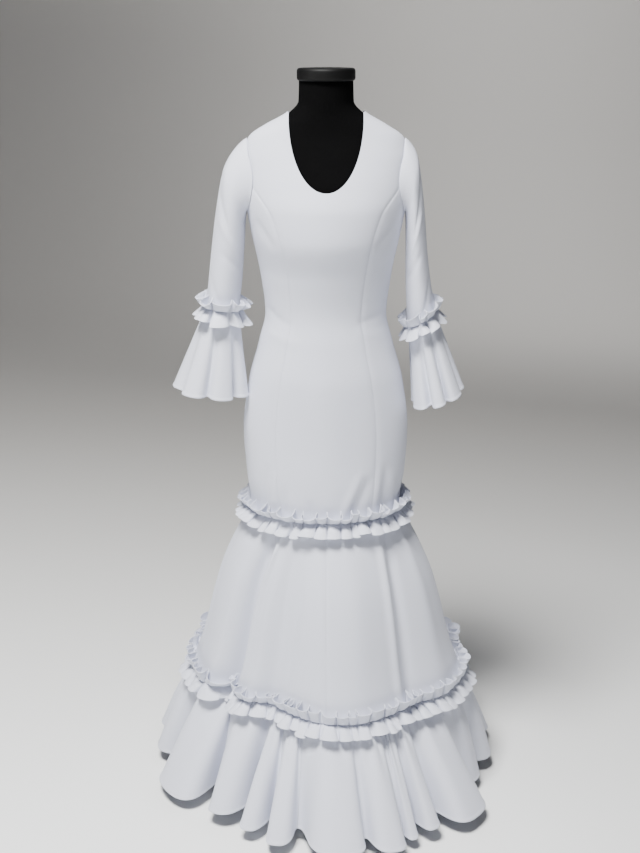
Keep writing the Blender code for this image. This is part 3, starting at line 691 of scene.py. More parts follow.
@dataclass(frozen=True)
class Looks:
    """The materials of the object."""

    crepe: bpy.types.Material
    jersey: bpy.types.Material
    cap: bpy.types.Material
    steel: bpy.types.Material
    wood: bpy.types.Material

    @classmethod
    def build(cls) -> "Looks":
        """Builds every material from its finish."""
        effects = SharedEffects.build()
        return cls(*(finish.material(effects) for finish in (CREPE, JERSEY, CAP_BLACK, POLE_STEEL, WALNUT)))


# Cloth walls


@dataclass(frozen=True)
class Edge:
    """Which edges of a piece are rolled into a narrow hem, and its thickness."""

    first_row: bool = False
    last_row: bool = False
    bead_m: float = 0.0022
    profile: tuple[float, ...] = (0.45, 0.85, 1.0, 0.85)

    def thickness(self, shape: tuple[int, int], wall_m: float) -> Array:
        """Wall thickness of each grid point.

        Args:
            shape: rows and columns of the grid.
            wall_m: thickness away from the edges.

        Returns:
            A grid of thicknesses.
        """
        thick = np.full(shape, wall_m)
        for i, share in enumerate(self.profile):
            bead = max(wall_m, self.bead_m * share)
            if self.first_row:
                thick[i] = bead
            if self.last_row:
                thick[-1 - i] = bead
        return thick


def shell_mesh(name: str, grids: Sequence[Array], wall_m: float, closed: bool, edge: Edge) -> bpy.types.Mesh:
    """Gives grids of points their thickness and joins them where they meet.

    Args:
        name: the mesh's name.
        grids: grids of points, rows by columns, whose normals face out of the garment.
        wall_m: thickness of the cloth.
        closed: whether each row joins its own start.
        edge: its rolled edges.

    Returns:
        A closed mesh.
    """
    middles, shifts, quads, start = [], [], [], 0
    for grid in grids:
        rows, columns = grid.shape[:2]
        half = grid_normals(grid, closed) * edge.thickness((rows, columns), wall_m)[..., None] / 2
        index = start + np.arange(rows * columns).reshape(rows, columns)
        if closed:
            index = np.concatenate([index, index[:, :1]], axis=1)
        quads.append(np.stack([index[:-1, :-1], index[:-1, 1:], index[1:, 1:], index[1:, :-1]], -1).reshape(-1, 4))
        middles.append(grid.reshape(-1, 3))
        shifts.append(half.reshape(-1, 3))
        start += rows * columns
    middle, shift, faces = np.concatenate(middles), np.concatenate(shifts), np.concatenate(quads)
    _, first, index = np.unique(np.round(middle, 6), axis=0, return_index=True, return_inverse=True)
    middle, shift, faces = middle[first], shift[first], index.reshape(-1)[faces]
    count = len(middle)
    ends = np.concatenate([faces[:, [i, (i + 1) % 4]] for i in range(4)])
    keys = ends[:, 0] * count + ends[:, 1]
    rims = ends[~np.isin(keys, ends[:, 1] * count + ends[:, 0])]
    rim_faces = np.stack([rims[:, 1], rims[:, 0], rims[:, 0] + count, rims[:, 1] + count], -1)
    points = np.concatenate([middle + shift, middle - shift])
    every = np.concatenate([faces, faces[:, ::-1] + count, rim_faces])
    return mesh_of(name, points, every.tolist())


def lowest_first(corners: Sequence[int]) -> list[int]:
    """A face's corners in the same turn, from the lowest one, so that each run lists them alike."""
    start = corners.index(min(corners))
    return [*corners[start:], *corners[:start]]


def mesh_of(
    name: str, points: Array, faces: Sequence[Sequence[int]], sharp_deg: float = RIM_ANGLE_DEG,
) -> bpy.types.Mesh:
    """Makes a smooth-shaded mesh, sharp at its rims.

    Args:
        name: its name.
        points: a grid of points.
        faces: its faces, as point numbers.
        sharp_deg: angle past which an edge is sharp.

    Returns:
        The mesh.
    """
    mesh = bpy.data.meshes.new(name)
    mesh.from_pydata(points.tolist(), [], faces)
    mesh.update()
    mesh.shade_smooth()
    mesh.set_sharp_from_angle(angle=math.radians(sharp_deg))
    return mesh


def add_piece(
    name: str, mesh: bpy.types.Mesh, look: bpy.types.Material, nodes: Sequence[str],
) -> bpy.types.Object:
    """Puts a piece in the scene in place of its solids.

    Args:
        name: the piece's name.
        mesh: its mesh.
        look: its material.
        nodes: the solids that it stands for.

    Returns:
        The piece.
    """
    piece = bpy.data.objects.new(name, mesh)
    bpy.context.scene.collection.objects.link(piece)
    mesh.materials.append(look)
    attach(piece, "root")
    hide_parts(*nodes)
    LOG.info("%s: %d faces", name, len(mesh.polygons))
    return piece


def add_cloth(
    name: str, grids: Sequence[Array], look: bpy.types.Material,
    closed: bool = False, wall_m: float = 0.0008, edge: Edge = Edge(),
) -> bpy.types.Object:
    """Builds a cloth piece that stands for the solid of the same name.

    Args:
        name: name of the solid; the piece's name adds _cloth.
        grids: grids of points in the middle of the wall.
        look: its material.
        closed: whether each row joins its own start.
        wall_m: thickness of the cloth.
        edge: its rolled edges.

    Returns:
        The piece.
    """
    mesh = shell_mesh(f"{name}_cloth", grids, wall_m, closed, edge)
    piece = add_piece(f"{name}_cloth", mesh, look, [name])
    return piece


# The dress


@dataclass
class Bodice:
    """Fitted body of the dress in seven panels, from the hip ring to the shoulders."""

    crepe: bpy.types.Material
    row_step_m: float = 0.0045
    columns: int = 46
    seam_gap_m: float = 0.0003
    seam_dip_m: float = 0.0011
    seam_soft_m: float = 0.0045
    degree_m: float = 0.0026
    neck_curve: float = 2.2
    neck_rows: int = 8
    neck_crowding: float = 1.6
    armhole_gap_m: float = 0.002
    drift_m: float = 0.0006

    def armhole_deg(self, height: Array) -> Array:
        """Angle from the centre front or back at which the armhole cuts the bodice."""
        share = (height - ARM_MID_Z) / ARM_HALF_HEIGHT
        return 90.0 - ARM_DEPTH_DEG * np.sqrt(np.maximum(0.0, 1.0 - share * share))

    def outer_deg(self, height: Array) -> Array:
        """Outer edge of a centre panel: princess seam, then armhole, then shoulder seam."""
        return np.where(height < PRINCESS_TOP_Z, PRINCESS_DEG(height), self.armhole_deg(height))

    def neck_deg(self, height: Array, bottom: float) -> Array:
        """Angle from the centre at which a round neckline cuts the bodice, 0 below it.

        Args:
            height: heights above the floor.
            bottom: height at which the neckline starts.

        Returns:
            Angles in degrees.
        """
        share = np.clip((height - bottom) / (SHOULDER_NECK_Z - bottom), 0.0, 1.0)
        reach = NECK_HALF_WIDTH * np.sqrt(1.0 - (1.0 - share) ** self.neck_curve)
        return np.degrees(np.arcsin(np.clip(reach / BODY_WIDTH(height), 0.0, 1.0)))

    def heights(self, low: float, high: float, neck: float = 0.0) -> Array:
        """Heights of the rows of a panel, closer together where a neckline starts.

        Args:
            low: the lower end.
            high: the upper end.
            neck: height at which a neckline starts, or 0.

        Returns:
            Heights, bottom to top.
        """
        if not neck:
            return np.linspace(low, high, max(2, round((high - low) / self.row_step_m)))
        below = np.linspace(low, neck, round((neck - low) / self.row_step_m), endpoint=False)
        steps = round((high - neck) / self.row_step_m) + self.neck_rows
        return np.concatenate([below, neck + (high - neck) * np.linspace(0.0, 1.0, steps) ** self.neck_crowding])

    def seam_relief(self, around_deg: Array, height: Array) -> Array:
        """Soft groove along every seam.

        Args:
            around_deg: angles round the piece.
            height: heights above the floor.

        Returns:
            Depths, below 0 in a groove.
        """
        from_front = np.abs(np.mod(around_deg + 180.0, FULL_TURN) - 180.0)
        from_centre = np.minimum(from_front, 180.0 - from_front)
        princess = np.abs(from_centre - self.outer_deg(height)) * self.degree_m
        under_arm = height < ARM_MID_Z - ARM_HALF_HEIGHT
        side = np.where(under_arm, np.abs(from_centre - 90.0) * self.degree_m, FAR_M)
        closure = (180.0 - from_front) * self.degree_m
        nearest = np.minimum.reduce([princess, side, closure])
        return -self.seam_dip_m * np.exp(-((nearest / self.seam_soft_m) ** 2))

    def grid(self, low: Array, high: Array, height: Array, columns: int) -> Array:
        """Points of a patch, with its creases.

        Args:
            low: angle of its first column at each height.
            high: angle of its last column.
            height: heights of its rows.
            columns: number of columns.

        Returns:
            Rows by columns by 3.
        """
        share = np.linspace(0.0, 1.0, columns)
        around = low[:, None] * (1 - share) + high[:, None] * share
        tall = np.broadcast_to(height[:, None], around.shape)
        points = body_surface(around, tall)
        out = relief(HIP_CREASES + WAIST_CREASES, around, tall, self.degree_m)
        out += self.seam_relief(around, tall) + drift(points, self.drift_m)
        return points + grid_normals(points, False) * out[..., None]

    def inset(self, height: Array) -> Array:
        """Half a seam's gap, in degrees."""
        return np.degrees(self.seam_gap_m / 2 / BODY_FRONT(height))

    def build(self) -> None:
        """Builds the seven panels."""
        self.front()
        for side in Side:
            word = side.name.lower()
            self.side_panel(f"front_side_{word}", side, front=True)
            self.side_panel(f"back_side_{word}", side, front=False)
            self.back_panel(f"back_{word}", side)

    def front(self) -> None:
        """Centre front panel with the scoop neckline."""
        height = self.heights(UPPER_RING_Z, SHOULDER_NECK_Z, NECK_FRONT_Z)
        neck = self.neck_deg(height, NECK_FRONT_Z)
        edge = self.outer_deg(height) - self.inset(height)
        halves = [
            self.grid(-edge, -neck, height, self.columns // 2),
            self.grid(neck, edge, height, self.columns // 2),
        ]
        add_cloth("front_centre", halves, self.crepe)

    def side_panel(self, name: str, side: Side, front: bool) -> None:
        """Panel from a princess seam to the side seam and the armhole.

        Args:
            name: its name.
            side: the wearer's side.
            front: whether it is in front.
        """
        height = self.heights(UPPER_RING_Z, PRINCESS_TOP_Z - self.armhole_gap_m)
        low = PRINCESS_DEG(height) + self.inset(height)
        high = self.armhole_deg(height) - self.inset(height)
        if not front:
            low, high = 180.0 - high, 180.0 - low
        if side is Side.RIGHT:
            low, high = -high, -low
        grid = self.grid(low, high, height, self.columns // 2)
        add_cloth(name, [grid], self.crepe)

    def back_panel(self, name: str, side: Side) -> None:
        """Half of the back, from the closure seam to the princess seam.

        Args:
            name: its name.
            side: the wearer's side.
        """
        height = self.heights(UPPER_RING_Z, SHOULDER_NECK_Z, ARM_TOP_Z)
        inner = np.maximum(self.neck_deg(height, ARM_TOP_Z), self.inset(height))
        low, high = 180.0 - (self.outer_deg(height) - self.inset(height)), 180.0 - inner
        if side is Side.RIGHT:
            low, high = -high, -low
        grid = self.grid(low, high, height, self.columns // 2)
        add_cloth(name, [grid], self.crepe)


@dataclass(frozen=True)
class FoldedHem:
    """Closed hem line of folds, walked by a count in which each fold is 1 long."""

    folds: tuple[Fold, ...]

    def place(self, count: Array) -> tuple[Array, Array, Array]:
        """Plain angle, folded angle and reach.

        Args:
            count: places along the hem.

        Returns:
            The three values at each place.
        """
        table = np.array(self.folds)
        whole = np.floor(count).astype(int)
        part = count - whole
        here, after = table[whole % len(table)], table[(whole + 1) % len(table)]
        valley, crest, top = here[..., 0], here[..., 2], here[..., 3]
        next_valley = np.where(after[..., 0] < valley, after[..., 0] + FULL_TURN, after[..., 0])
        swell = 1.0 - np.abs(np.cos(np.pi * part)) ** CREST_FLATNESS
        rising = part < 0.5
        angle = np.where(
            rising,
            valley + (crest - valley) * 2 * part,
            crest + (next_valley - crest) * (2 * part - 1),
        )
        floor = np.where(rising, here[..., 1], after[..., 1])
        bulge = np.where(rising, here[..., 4], here[..., 5])
        overhang = np.sin(2 * np.pi * part) * np.sin(np.pi * part) / OVERHANG_PEAK
        return angle, angle - bulge * overhang, floor + (top - floor) * swell

    def count_at(self, around_deg: Array) -> Array:
        """Place along the hem whose plain angle is around_deg.

        Args:
            around_deg: angles round the piece.

        Returns:
            Places along the folds.
        """
        angles, start = [], self.folds[0].valley_deg
        for fold in self.folds:
            angles += [fold.valley_deg, fold.crest_deg]
        angles.append(start + FULL_TURN)
        counts = np.arange(len(angles)) / 2
        return np.interp(start + np.mod(around_deg - start, FULL_TURN), angles, counts)


SKIRT_HEM = FoldedHem(HEM_FOLDS)


def flounce_surface(count: Array, down: Array) -> Array:
    """Middle of the bottom flounce's wall, down from the lower ring (0) to the hem (1).

    Args:
        count: places along the folds, each fold 1 long.
        down: shares of the way down.

    Returns:
        Points on the wall.
    """
    plain, folded, reach = SKIRT_HEM.place(count)
    hem = polar(folded, reach, HEM_Z + HEM_DIP * np.sin(2 * np.pi * count / 3))
    ring = polar(plain, RING_REACH(plain), np.full_like(plain, LOWER_RING_Z))
    share = np.asarray(down)[..., None]
    bow = FLOUNCE_BOW * np.sin(np.pi * np.clip(share, 0.0, 1.0))
    return ring * (1 - share) + hem * share + bow * polar(folded, 1.0, np.zeros_like(folded))


@dataclass
class Skirt:
    """Flared tier in four gores and the bottom flounce in four pieces."""

    crepe: bpy.types.Material
    gores: tuple[tuple[str, float, float], ...] = (
        ("skirt_front_right", -90.0, 0.0),
        ("skirt_front_left", 0.0, 90.0),
        ("skirt_back_left", 90.0, 180.0),
        ("skirt_back_right", -180.0, -90.0),
    )
    flounces: tuple[tuple[str, int, int], ...] = (
        ("flounce_back_right", 0, 4),
        ("flounce_front_right", 4, 9),
        ("flounce_front_left", 9, 16),
        ("flounce_back_left", 16, 21),
    )
    gore_columns: int = 110
    gore_rows: int = 80
    fold_columns: int = 34
    flounce_rows: int = 52
    seam_gap_deg: float = 0.05
    seam_dip_m: float = 0.0012
    seam_soft_m: float = 0.005
    seam_degree_m: float = 0.0035
    degree_m: float = 0.0038
    tier_drift_m: float = 0.0008
    flounce_drift_m: float = 0.0012
    flounce_gap: float = 0.004
    flounce_wall_m: float = 0.0009
    hem_bead_m: float = 0.0026
    hem_rows: int = 6
    hem_top: float = 0.965
    body_end: float = 0.95
    gather_m: float = 0.0042
    gather_fade: float = 0.30
    gathers: float = 3.0
    gather_stray: float = 1.1
    gather_pace: float = 2.3

    def build(self) -> None:
        """Builds the tier, then the flounce."""
        for name, start, end in self.gores:
            self.gore(name, start, end)
        for name, start, end in self.flounces:
            self.flounce(name, start, end)

    def gore(self, name: str, start: float, end: float) -> None:
        """One gore, from seam to seam and from the lower ring to the hip ring.

        Args:
            name: its name.
            start: where it starts.
            end: where it ends.
        """
        around, height = np.meshgrid(
            np.linspace(start + self.seam_gap_deg, end - self.seam_gap_deg, self.gore_columns),
            np.linspace(LOWER_RING_Z, UPPER_RING_Z, self.gore_rows),
        )
        points = tier_surface(around, height)
        seam = np.minimum(around - start, end - around) * self.seam_degree_m
        out = relief(TIER_CREASES, around, height, self.degree_m) + drift(points, self.tier_drift_m)
        out -= self.seam_dip_m * np.exp(-((seam / self.seam_soft_m) ** 2))
        grid = points + grid_normals(points, False) * out[..., None]
        add_cloth(name, [grid], self.crepe)

    def flounce(self, name: str, start: int, end: int) -> None:
        """One piece of the flounce, from valley to valley.

        Args:
            name: its name.
            start: where it starts.
            end: where it ends.
        """
        columns = (end - start) * self.fold_columns
        count, down = np.meshgrid(
            np.linspace(start + self.flounce_gap, end - self.flounce_gap, columns),
            np.concatenate([
                np.linspace(1.0, self.hem_top, self.hem_rows), np.linspace(self.body_end, 0.0, self.flounce_rows),
            ]),
        )
        points = flounce_surface(count, down)
        stray = self.gather_stray * np.sin(self.gather_pace * count)
        ripple = np.sin(2 * np.pi * count * self.gathers + stray)
        out = self.gather_m * ripple * np.exp(-down / self.gather_fade) + drift(points, self.flounce_drift_m) * down
        grid = points + grid_normals(points, False) * out[..., None]
        add_cloth(
            name, [grid], self.crepe,
            wall_m=self.flounce_wall_m, edge=Edge(first_row=True, bead_m=self.hem_bead_m),
        )


@dataclass
class SleeveSet:
    """One sleeve with its cuff flounce."""

    crepe: bpy.types.Material
    side: Side
    rows: tuple[SleeveRow, ...]
    cuff: Cuff
    folds: tuple[Fold, ...]
    columns: int = 96
    length_rows: int = 90
    fold_columns: int = 34
    cuff_rows: int = 44
    cuff_end: float = 0.955
    hem_top: float = 0.97
    hem_rows: int = 5
    cuff_wall_m: float = 0.0009
    hem_bead_m: float = 0.0024
    degree_m: float = 0.0008
    length_m: float = 0.34
    crease_fade_in: float = 8.0
    sleeve_drift_m: float = 0.0006
    cuff_drift_m: float = 0.0008
    gather_m: float = 0.0016
    gathers: float = 2.0
    gather_fade: float = 0.14
    slope_step_deg: float = 0.5
    slope_step_m: float = 0.002
    turn_in_m: float = 0.0011
    turn_in_lifts: tuple[float, ...] = (-0.0022, -0.0008, 0.0006, 0.0017)

    def mirrored(self, points: Array) -> Array:
        """Moves points made for the wearer's left to this sleeve's side."""
        return points * np.array([self.side.value, 1.0, 1.0])

    def facing_out(self, grid: Array) -> Array:
        """Runs the columns so that the normals face out of the sleeve."""
        return grid if self.side is Side.LEFT else grid[:, ::-1]

    def armhole(self, around_deg: Array, lift: Array | float = ARMHOLE_LIFT, shrink_m: float = 0.0) -> Array:
        """Left armhole, 0 at the shoulder and 90 in front.

        Args:
            around_deg: angles round the armhole.
            lift: how far it stands off the bodice.
            shrink_m: how far it stays inside the armhole's edge.

        Returns:
            Points of the ring.
        """
        angle = np.radians(around_deg)
        depth = ARM_DEPTH_DEG * (1.0 - shrink_m / ARM_HALF_HEIGHT)

        def on_bodice(turn: float, up: float) -> Array:
            """Points of the armhole's line, moved round and up a little."""
            height = ARM_MID_Z + (ARM_HALF_HEIGHT - shrink_m) * np.cos(angle) + up
            return body_surface(90.0 - depth * np.sin(angle) + turn, height)

        slope_round = on_bodice(self.slope_step_deg, 0.0) - on_bodice(-self.slope_step_deg, 0.0)
        slope_up = on_bodice(0.0, self.slope_step_m) - on_bodice(0.0, -self.slope_step_m)
        normal = np.cross(slope_round, slope_up)
        normal /= np.linalg.norm(normal, axis=-1, keepdims=True)
        return on_bodice(0.0, 0.0) + normal * lift

    def sleeve(self, around_deg: Array, down: Array) -> Array:
        """Middle of the sleeve's wall on the wearer's left: 0 outer, 90 front, 180 inner.

        Args:
            around_deg: angles round the piece.
            down: shares of the way down.

        Returns:
            Points on the wall.
        """
        angle = np.radians(around_deg)

        def column(name: str) -> Array:
            """A column of the sleeve's table, read down the sleeve."""
            return Smooth.column(self.rows, name)(down)

        swing = np.cos(angle)
        x = (column("outer_x") + column("inner_x")) / 2 + (column("outer_x") - column("inner_x")) / 2 * swing
        z = (column("outer_z") + column("inner_z")) / 2 + (column("outer_z") - column("inner_z")) / 2 * swing
        y = column("back_m") - column("half_depth_m") * np.sin(angle)
        share = np.clip(down / SLEEVE_HEAD_SHARE, 0.0, 1.0)[..., None]
        share = share * share * (3 - 2 * share)
        return self.armhole(around_deg) * (1 - share) + np.stack([x, y, z], -1) * share

    def flounce(self, count: Array, down: Array) -> Array:
        """Middle of the cuff flounce's wall, down from the sleeve's end (0) to its hem (1).

        Args:
            count: places along the folds, each fold 1 long.
            down: shares of the way down.

        Returns:
            Points on the wall.
        """
        plain, folded, reach = FoldedHem(self.folds).place(count)
        angle = np.radians(folded)
        out = np.cos(angle) * reach
        hem = np.stack([
            self.cuff.centre_x + self.cuff.half_width_m * out,
            self.cuff.centre_y - self.cuff.half_depth_m * np.sin(angle) * reach,
            self.cuff.centre_z + self.cuff.rise_m * out,
        ], -1)
        share = np.asarray(down)[..., None]
        return self.sleeve(plain, np.ones_like(plain)) * (1 - share) + hem * share

    def build(self) -> None:
        """Builds the sleeve and its cuff flounce."""
        word = self.side.name.lower()
        around, down = np.meshgrid(
            np.arange(self.columns) * FULL_TURN / self.columns,
            np.linspace(0.0, 1.0, self.length_rows),
        )
        points = self.sleeve(around, down)
        creases = [
            crease._replace(start_z=crease.start_z * self.length_m, end_z=crease.end_z * self.length_m)
            for crease in SLEEVE_CREASES
        ]
        out = relief(creases, around, down * self.length_m, self.degree_m)
        out = out + drift(points, self.sleeve_drift_m)
        out *= np.clip(down * self.crease_fade_in, 0.0, 1.0)
        points = points + grid_normals(points, True) * out[..., None]
        turned_in = [self.armhole(around[0], lift, self.turn_in_m) for lift in self.turn_in_lifts]
        grid = self.facing_out(self.mirrored(np.concatenate([np.array(turned_in), points])))
        add_cloth(f"sleeve_{word}", [grid], self.crepe, closed=True)

        count, down = np.meshgrid(
            np.arange(len(self.folds) * self.fold_columns) / self.fold_columns,
            np.concatenate([
                np.linspace(0.0, self.cuff_end, self.cuff_rows), np.linspace(self.hem_top, 1.0, self.hem_rows),
            ]),
        )
        points = self.flounce(count, down)
        ripple = self.gather_m * np.sin(2 * np.pi * count * self.gathers) * np.exp(-down / self.gather_fade)
        out = ripple + drift(points, self.cuff_drift_m)
        grid = self.facing_out(self.mirrored(points + grid_normals(points, True) * out[..., None]))
        add_cloth(
            f"cuff_flounce_{word}", [grid], self.crepe,
            closed=True, wall_m=self.cuff_wall_m, edge=Edge(last_row=True, bead_m=self.hem_bead_m),
        )

    def ruche_base(self, around_deg: Array, across_m: Array) -> Array:
        """Cloth under this sleeve's ruche, by the distance above its stitch line.

        Args:
            around_deg: angles round the piece.
            across_m: distances above the stitch line.

        Returns:
            Points on the cloth.
        """
        first, last = self.rows[0], self.rows[-1]
        length = math.hypot(last.outer_x - first.outer_x, last.outer_z - first.outer_z)
        above = self.sleeve(around_deg, np.minimum(1.0, 1.0 - across_m / length))
        count = FoldedHem(self.folds).count_at(around_deg)
        drop = self.rows[-1].outer_z - self.cuff.centre_z
        below = self.flounce(count, np.maximum(0.0, -across_m / drop))
        return np.where(across_m[..., None] >= 0, above, below)


@dataclass
class Ruche:
    """A strip gathered along its middle, with both rolled edges free."""

    name: str
    crepe: bpy.types.Material
    base: Surface
    pleats: int
    seed: int
    rests_on: tuple[str, ...]
    turned_over: bool = False
    half_height_m: float = 0.0245
    lift_m: float = 0.0026
    frill_m: float = 0.0125
    wave_m: float = 0.0095
    overhang_m: float = 0.0105
    ragged_m: float = 0.0042
    dip_m: float = 0.0055
    upper_stand: float = 1.20
    lower_stand: float = 1.05
    upper_puff: float = 0.5
    lower_puff: float = 0.75
    pleat_columns: int = 24
    rows: int = 19
    shift_of_pleats: float = 0.40
    bead_m: float = 0.0016
    lean_m: float = 0.0050
    stitch_m: float = 0.0014
    crinkles: float = 3.0
    crinkle_stray: float = 3.0
    crinkle_reach: float = 0.45
    shortest: float = 0.45
    tallest: float = 1.45
    crest_flatness: float = 2.2
    scallop_curve: float = 1.5
    wall_m: float = 0.0006
    bead_profile: tuple[float, ...] = (0.7, 1.0)

    def scattered(self, low: float, high: float, random: np.random.Generator, phase: Array) -> Array:
        """A random value for each pleat, passing smoothly from one to the next.

        Args:
            low: the lower end.
            high: the upper end.
            random: the source of chance.
            phase: places along the strip, each pleat 1 long.

        Returns:
            The values at each place.
        """
        values = random.uniform(low, high, self.pleats)
        at = np.mod(phase, self.pleats) - 0.5
        return np.interp(at, np.arange(self.pleats), values, period=self.pleats)

    def grid(self) -> Array:
        """Points of the gathered strip.

        Returns:
            Rows by columns by 3.
        """
        random = np.random.default_rng(self.seed)
        count = self.pleats * self.pleat_columns
        around = np.arange(count) * FULL_TURN / count
        marks = np.arange(self.pleats) + random.uniform(-self.shift_of_pleats, self.shift_of_pleats, self.pleats)
        marks = np.append(marks, marks[0] + self.pleats)
        walk = marks[0] + np.mod(around / FULL_TURN * self.pleats - marks[0], self.pleats)
        phase = np.interp(walk, marks, np.arange(self.pleats + 1))
        part = np.mod(phase, 1.0)
        across = np.linspace(-1.0, 1.0, self.rows)[:, None]
        above = across > 0
        rise = np.abs(across) ** np.where(above, self.upper_puff, self.lower_puff)
        tall = np.where(above, *(self.scattered(self.shortest, self.tallest, random, phase) for _ in range(2)))
        ragged = np.where(above, *(self.scattered(-1.0, 1.0, random, phase) for _ in range(2)))
        lean = np.where(above, *(self.scattered(-1.0, 1.0, random, phase) for _ in range(2)))
        swell = 1.0 - np.abs(np.cos(np.pi * part)) ** self.crest_flatness
        wave = 2 * swell - 1.0
        crinkle = np.sin(2 * np.pi * phase * self.crinkles + self.crinkle_stray * lean)
        crinkle = crinkle * np.exp(-np.abs(across) / self.crinkle_reach)
        stand = self.frill_m * np.where(above, self.upper_stand, self.lower_stand)
        out = self.lift_m + (stand + self.wave_m * tall * wave) * rise + self.stitch_m * crinkle
        out = np.maximum(out, self.lift_m - self.stitch_m)
        overhang = np.sin(2 * np.pi * part) * np.sin(np.pi * part)
        slide = (self.lean_m * lean * swell - self.overhang_m * tall * overhang) * rise
        dip = np.where(above, -self.dip_m * tall * wave, self.dip_m * swell)
        scallop = (self.ragged_m * ragged + dip) * np.abs(across) ** self.scallop_curve
        spread = across * self.half_height_m + np.sign(across) * scallop
        turn, along = np.broadcast_arrays(around[None, :], across * self.half_height_m)
        cloth = self.base(turn, along)
        normals = grid_normals(cloth, True)
        if self.turned_over:
            normals = -normals
        forward = np.roll(cloth, -1, axis=1) - np.roll(cloth, 1, axis=1)
        forward /= np.linalg.norm(forward, axis=-1, keepdims=True)
        up = np.gradient(cloth, axis=0)
        up /= np.linalg.norm(up, axis=-1, keepdims=True)
        extra = spread - across * self.half_height_m
        return cloth + normals * out[..., None] + forward * slide[..., None] + up * extra[..., None]

    def build(self) -> None:
        """Builds the ruche."""
        grid = self.grid()
        if self.turned_over:
            grid = grid[:, ::-1]
        add_cloth(
            self.name, [grid], self.crepe,
            closed=True, wall_m=self.wall_m, edge=Edge(True, True, self.bead_m, self.bead_profile),
        )


def lower_ruche_base(around_deg: Array, across_m: Array) -> Array:
    """Cloth under the lower ruche: the tier above its stitch line and the flounce below.

    Args:
        around_deg: angles round the piece.
        across_m: distances above the stitch line.

    Returns:
        Points on the cloth.
    """
    above = tier_surface(around_deg, LOWER_RING_Z + np.maximum(across_m, 0.0))
    down = np.maximum(-across_m, 0.0) / (LOWER_RING_Z - HEM_Z)
    below = flounce_surface(SKIRT_HEM.count_at(around_deg), down)
    return np.where(across_m[..., None] >= 0, above, below)


def upper_ruche_base(around_deg: Array, across_m: Array) -> Array:
    """Cloth under the upper ruche: the hips above its stitch line and the tier below.

    Args:
        around_deg: angles round the hip ring.
        across_m: distances above the stitch line.

    Returns:
        Points on the cloth.
    """
    lines = np.linspace(-180.0, 180.0, 721)
    bottom = np.interp(np.mod(around_deg + 180.0, FULL_TURN) - 180.0, GRAIN_TOP(lines), lines)
    above = body_surface(around_deg, UPPER_RING_Z + np.maximum(across_m, 0.0))
    below = tier_surface(bottom, UPPER_RING_Z + np.minimum(across_m, 0.0))
    return np.where(across_m[..., None] >= 0, above, below)


# Dress form and stand


class Turning(NamedTuple):
    """A step of a turned profile: how far inside the widest radius, and how far from its end."""

    inset_m: float
    from_end_m: float


@dataclass
class DressForm:
    """Limbless padded form with its neck cap."""

    looks: Looks
    inset_m: float = 0.006
    bottom_z: float = 0.700
    neck_top_z: float = 1.4987
    cap_low_z: float = 1.4990
    cap_top_z: float = 1.523
    cap_radius_m: float = 0.0575
    cap_foot: tuple[Turning, ...] = table(Turning, ((0.004, 0.0), (0.001, 0.002), (0.0, 0.005)))
    cap_head: tuple[Turning, ...] = table(Turning, ((0.0, 0.006), (0.0006, 0.003), (0.0022, 0.0008), (0.005, 0.0)))
    rounding_m: float = 0.004
    bottom_shrink: float = 0.975
    columns: int = 112
    rows: int = 120

    def build(self) -> None:
        """Builds the form's body and its cap."""
        around, height = np.meshgrid(
            np.arange(self.columns) * FULL_TURN / self.columns,
            np.linspace(self.bottom_z, self.neck_top_z, self.rows),
        )
        points = body_surface(around, height)
        level = points * np.array([1.0, 1.0, 0.0])
        points = points - level / np.linalg.norm(level, axis=-1, keepdims=True) * self.inset_m
        lowest = points[:1] * np.array([self.bottom_shrink, self.bottom_shrink, 1.0])
        points[0, :, 2] += self.rounding_m
        rings = np.concatenate([lowest, points])
        mesh = self.closed_rings("form_body", rings)
        add_piece("form_body", mesh, self.looks.jersey, ["form_torso"])
        radius, low, top = self.cap_radius_m, self.cap_low_z, self.cap_top_z
        profile = [(radius - turn.inset_m, low + turn.from_end_m) for turn in self.cap_foot]
        profile += [(radius - turn.inset_m, top - turn.from_end_m) for turn in self.cap_head]
        profile.append((radius / 2, top))
        add_piece("neck_cap", turned_mesh("neck_cap", profile), self.looks.cap, ["form_neck_cap"])

    @staticmethod
    def closed_rings(name: str, rings: Array) -> bpy.types.Mesh:
        """A closed mesh through rings of points, with flat ends.

        Args:
            name: its name.
            rings: rings of points, bottom to top.

        Returns:
            The mesh.
        """
        rows, columns = rings.shape[:2]
        index = np.arange(rows * columns).reshape(rows, columns)
        index = np.concatenate([index, index[:, :1]], axis=1)
        quads = np.stack([index[:-1, :-1], index[:-1, 1:], index[1:, 1:], index[1:, :-1]], -1).reshape(-1, 4)
        caps = [index[0, :-1][::-1].tolist(), index[-1, :-1].tolist()]
        return mesh_of(name, rings.reshape(-1, 3), quads.tolist() + caps)


def turned_mesh(name: str, profile: Sequence[tuple[float, float]], columns: int = 96) -> bpy.types.Mesh:
    """A turned solid, from its profile of radius and height, bottom to top.

    Args:
        name: its name.
        profile: radius and height of each step.
        columns: points in a ring.

    Returns:
        The mesh.
    """
    angle = np.arange(columns) * 2 * np.pi / columns
    rings = np.array([
        np.stack([radius * np.sin(angle), -radius * np.cos(angle), np.full(columns, height)], -1)
        for radius, height in profile
    ])
    return DressForm.closed_rings(name, rings)


class Board(NamedTuple):
    """Upper and lower edge of a leg at a reach from the pole."""

    reach_m: float
    top_m: float
    bottom_m: float


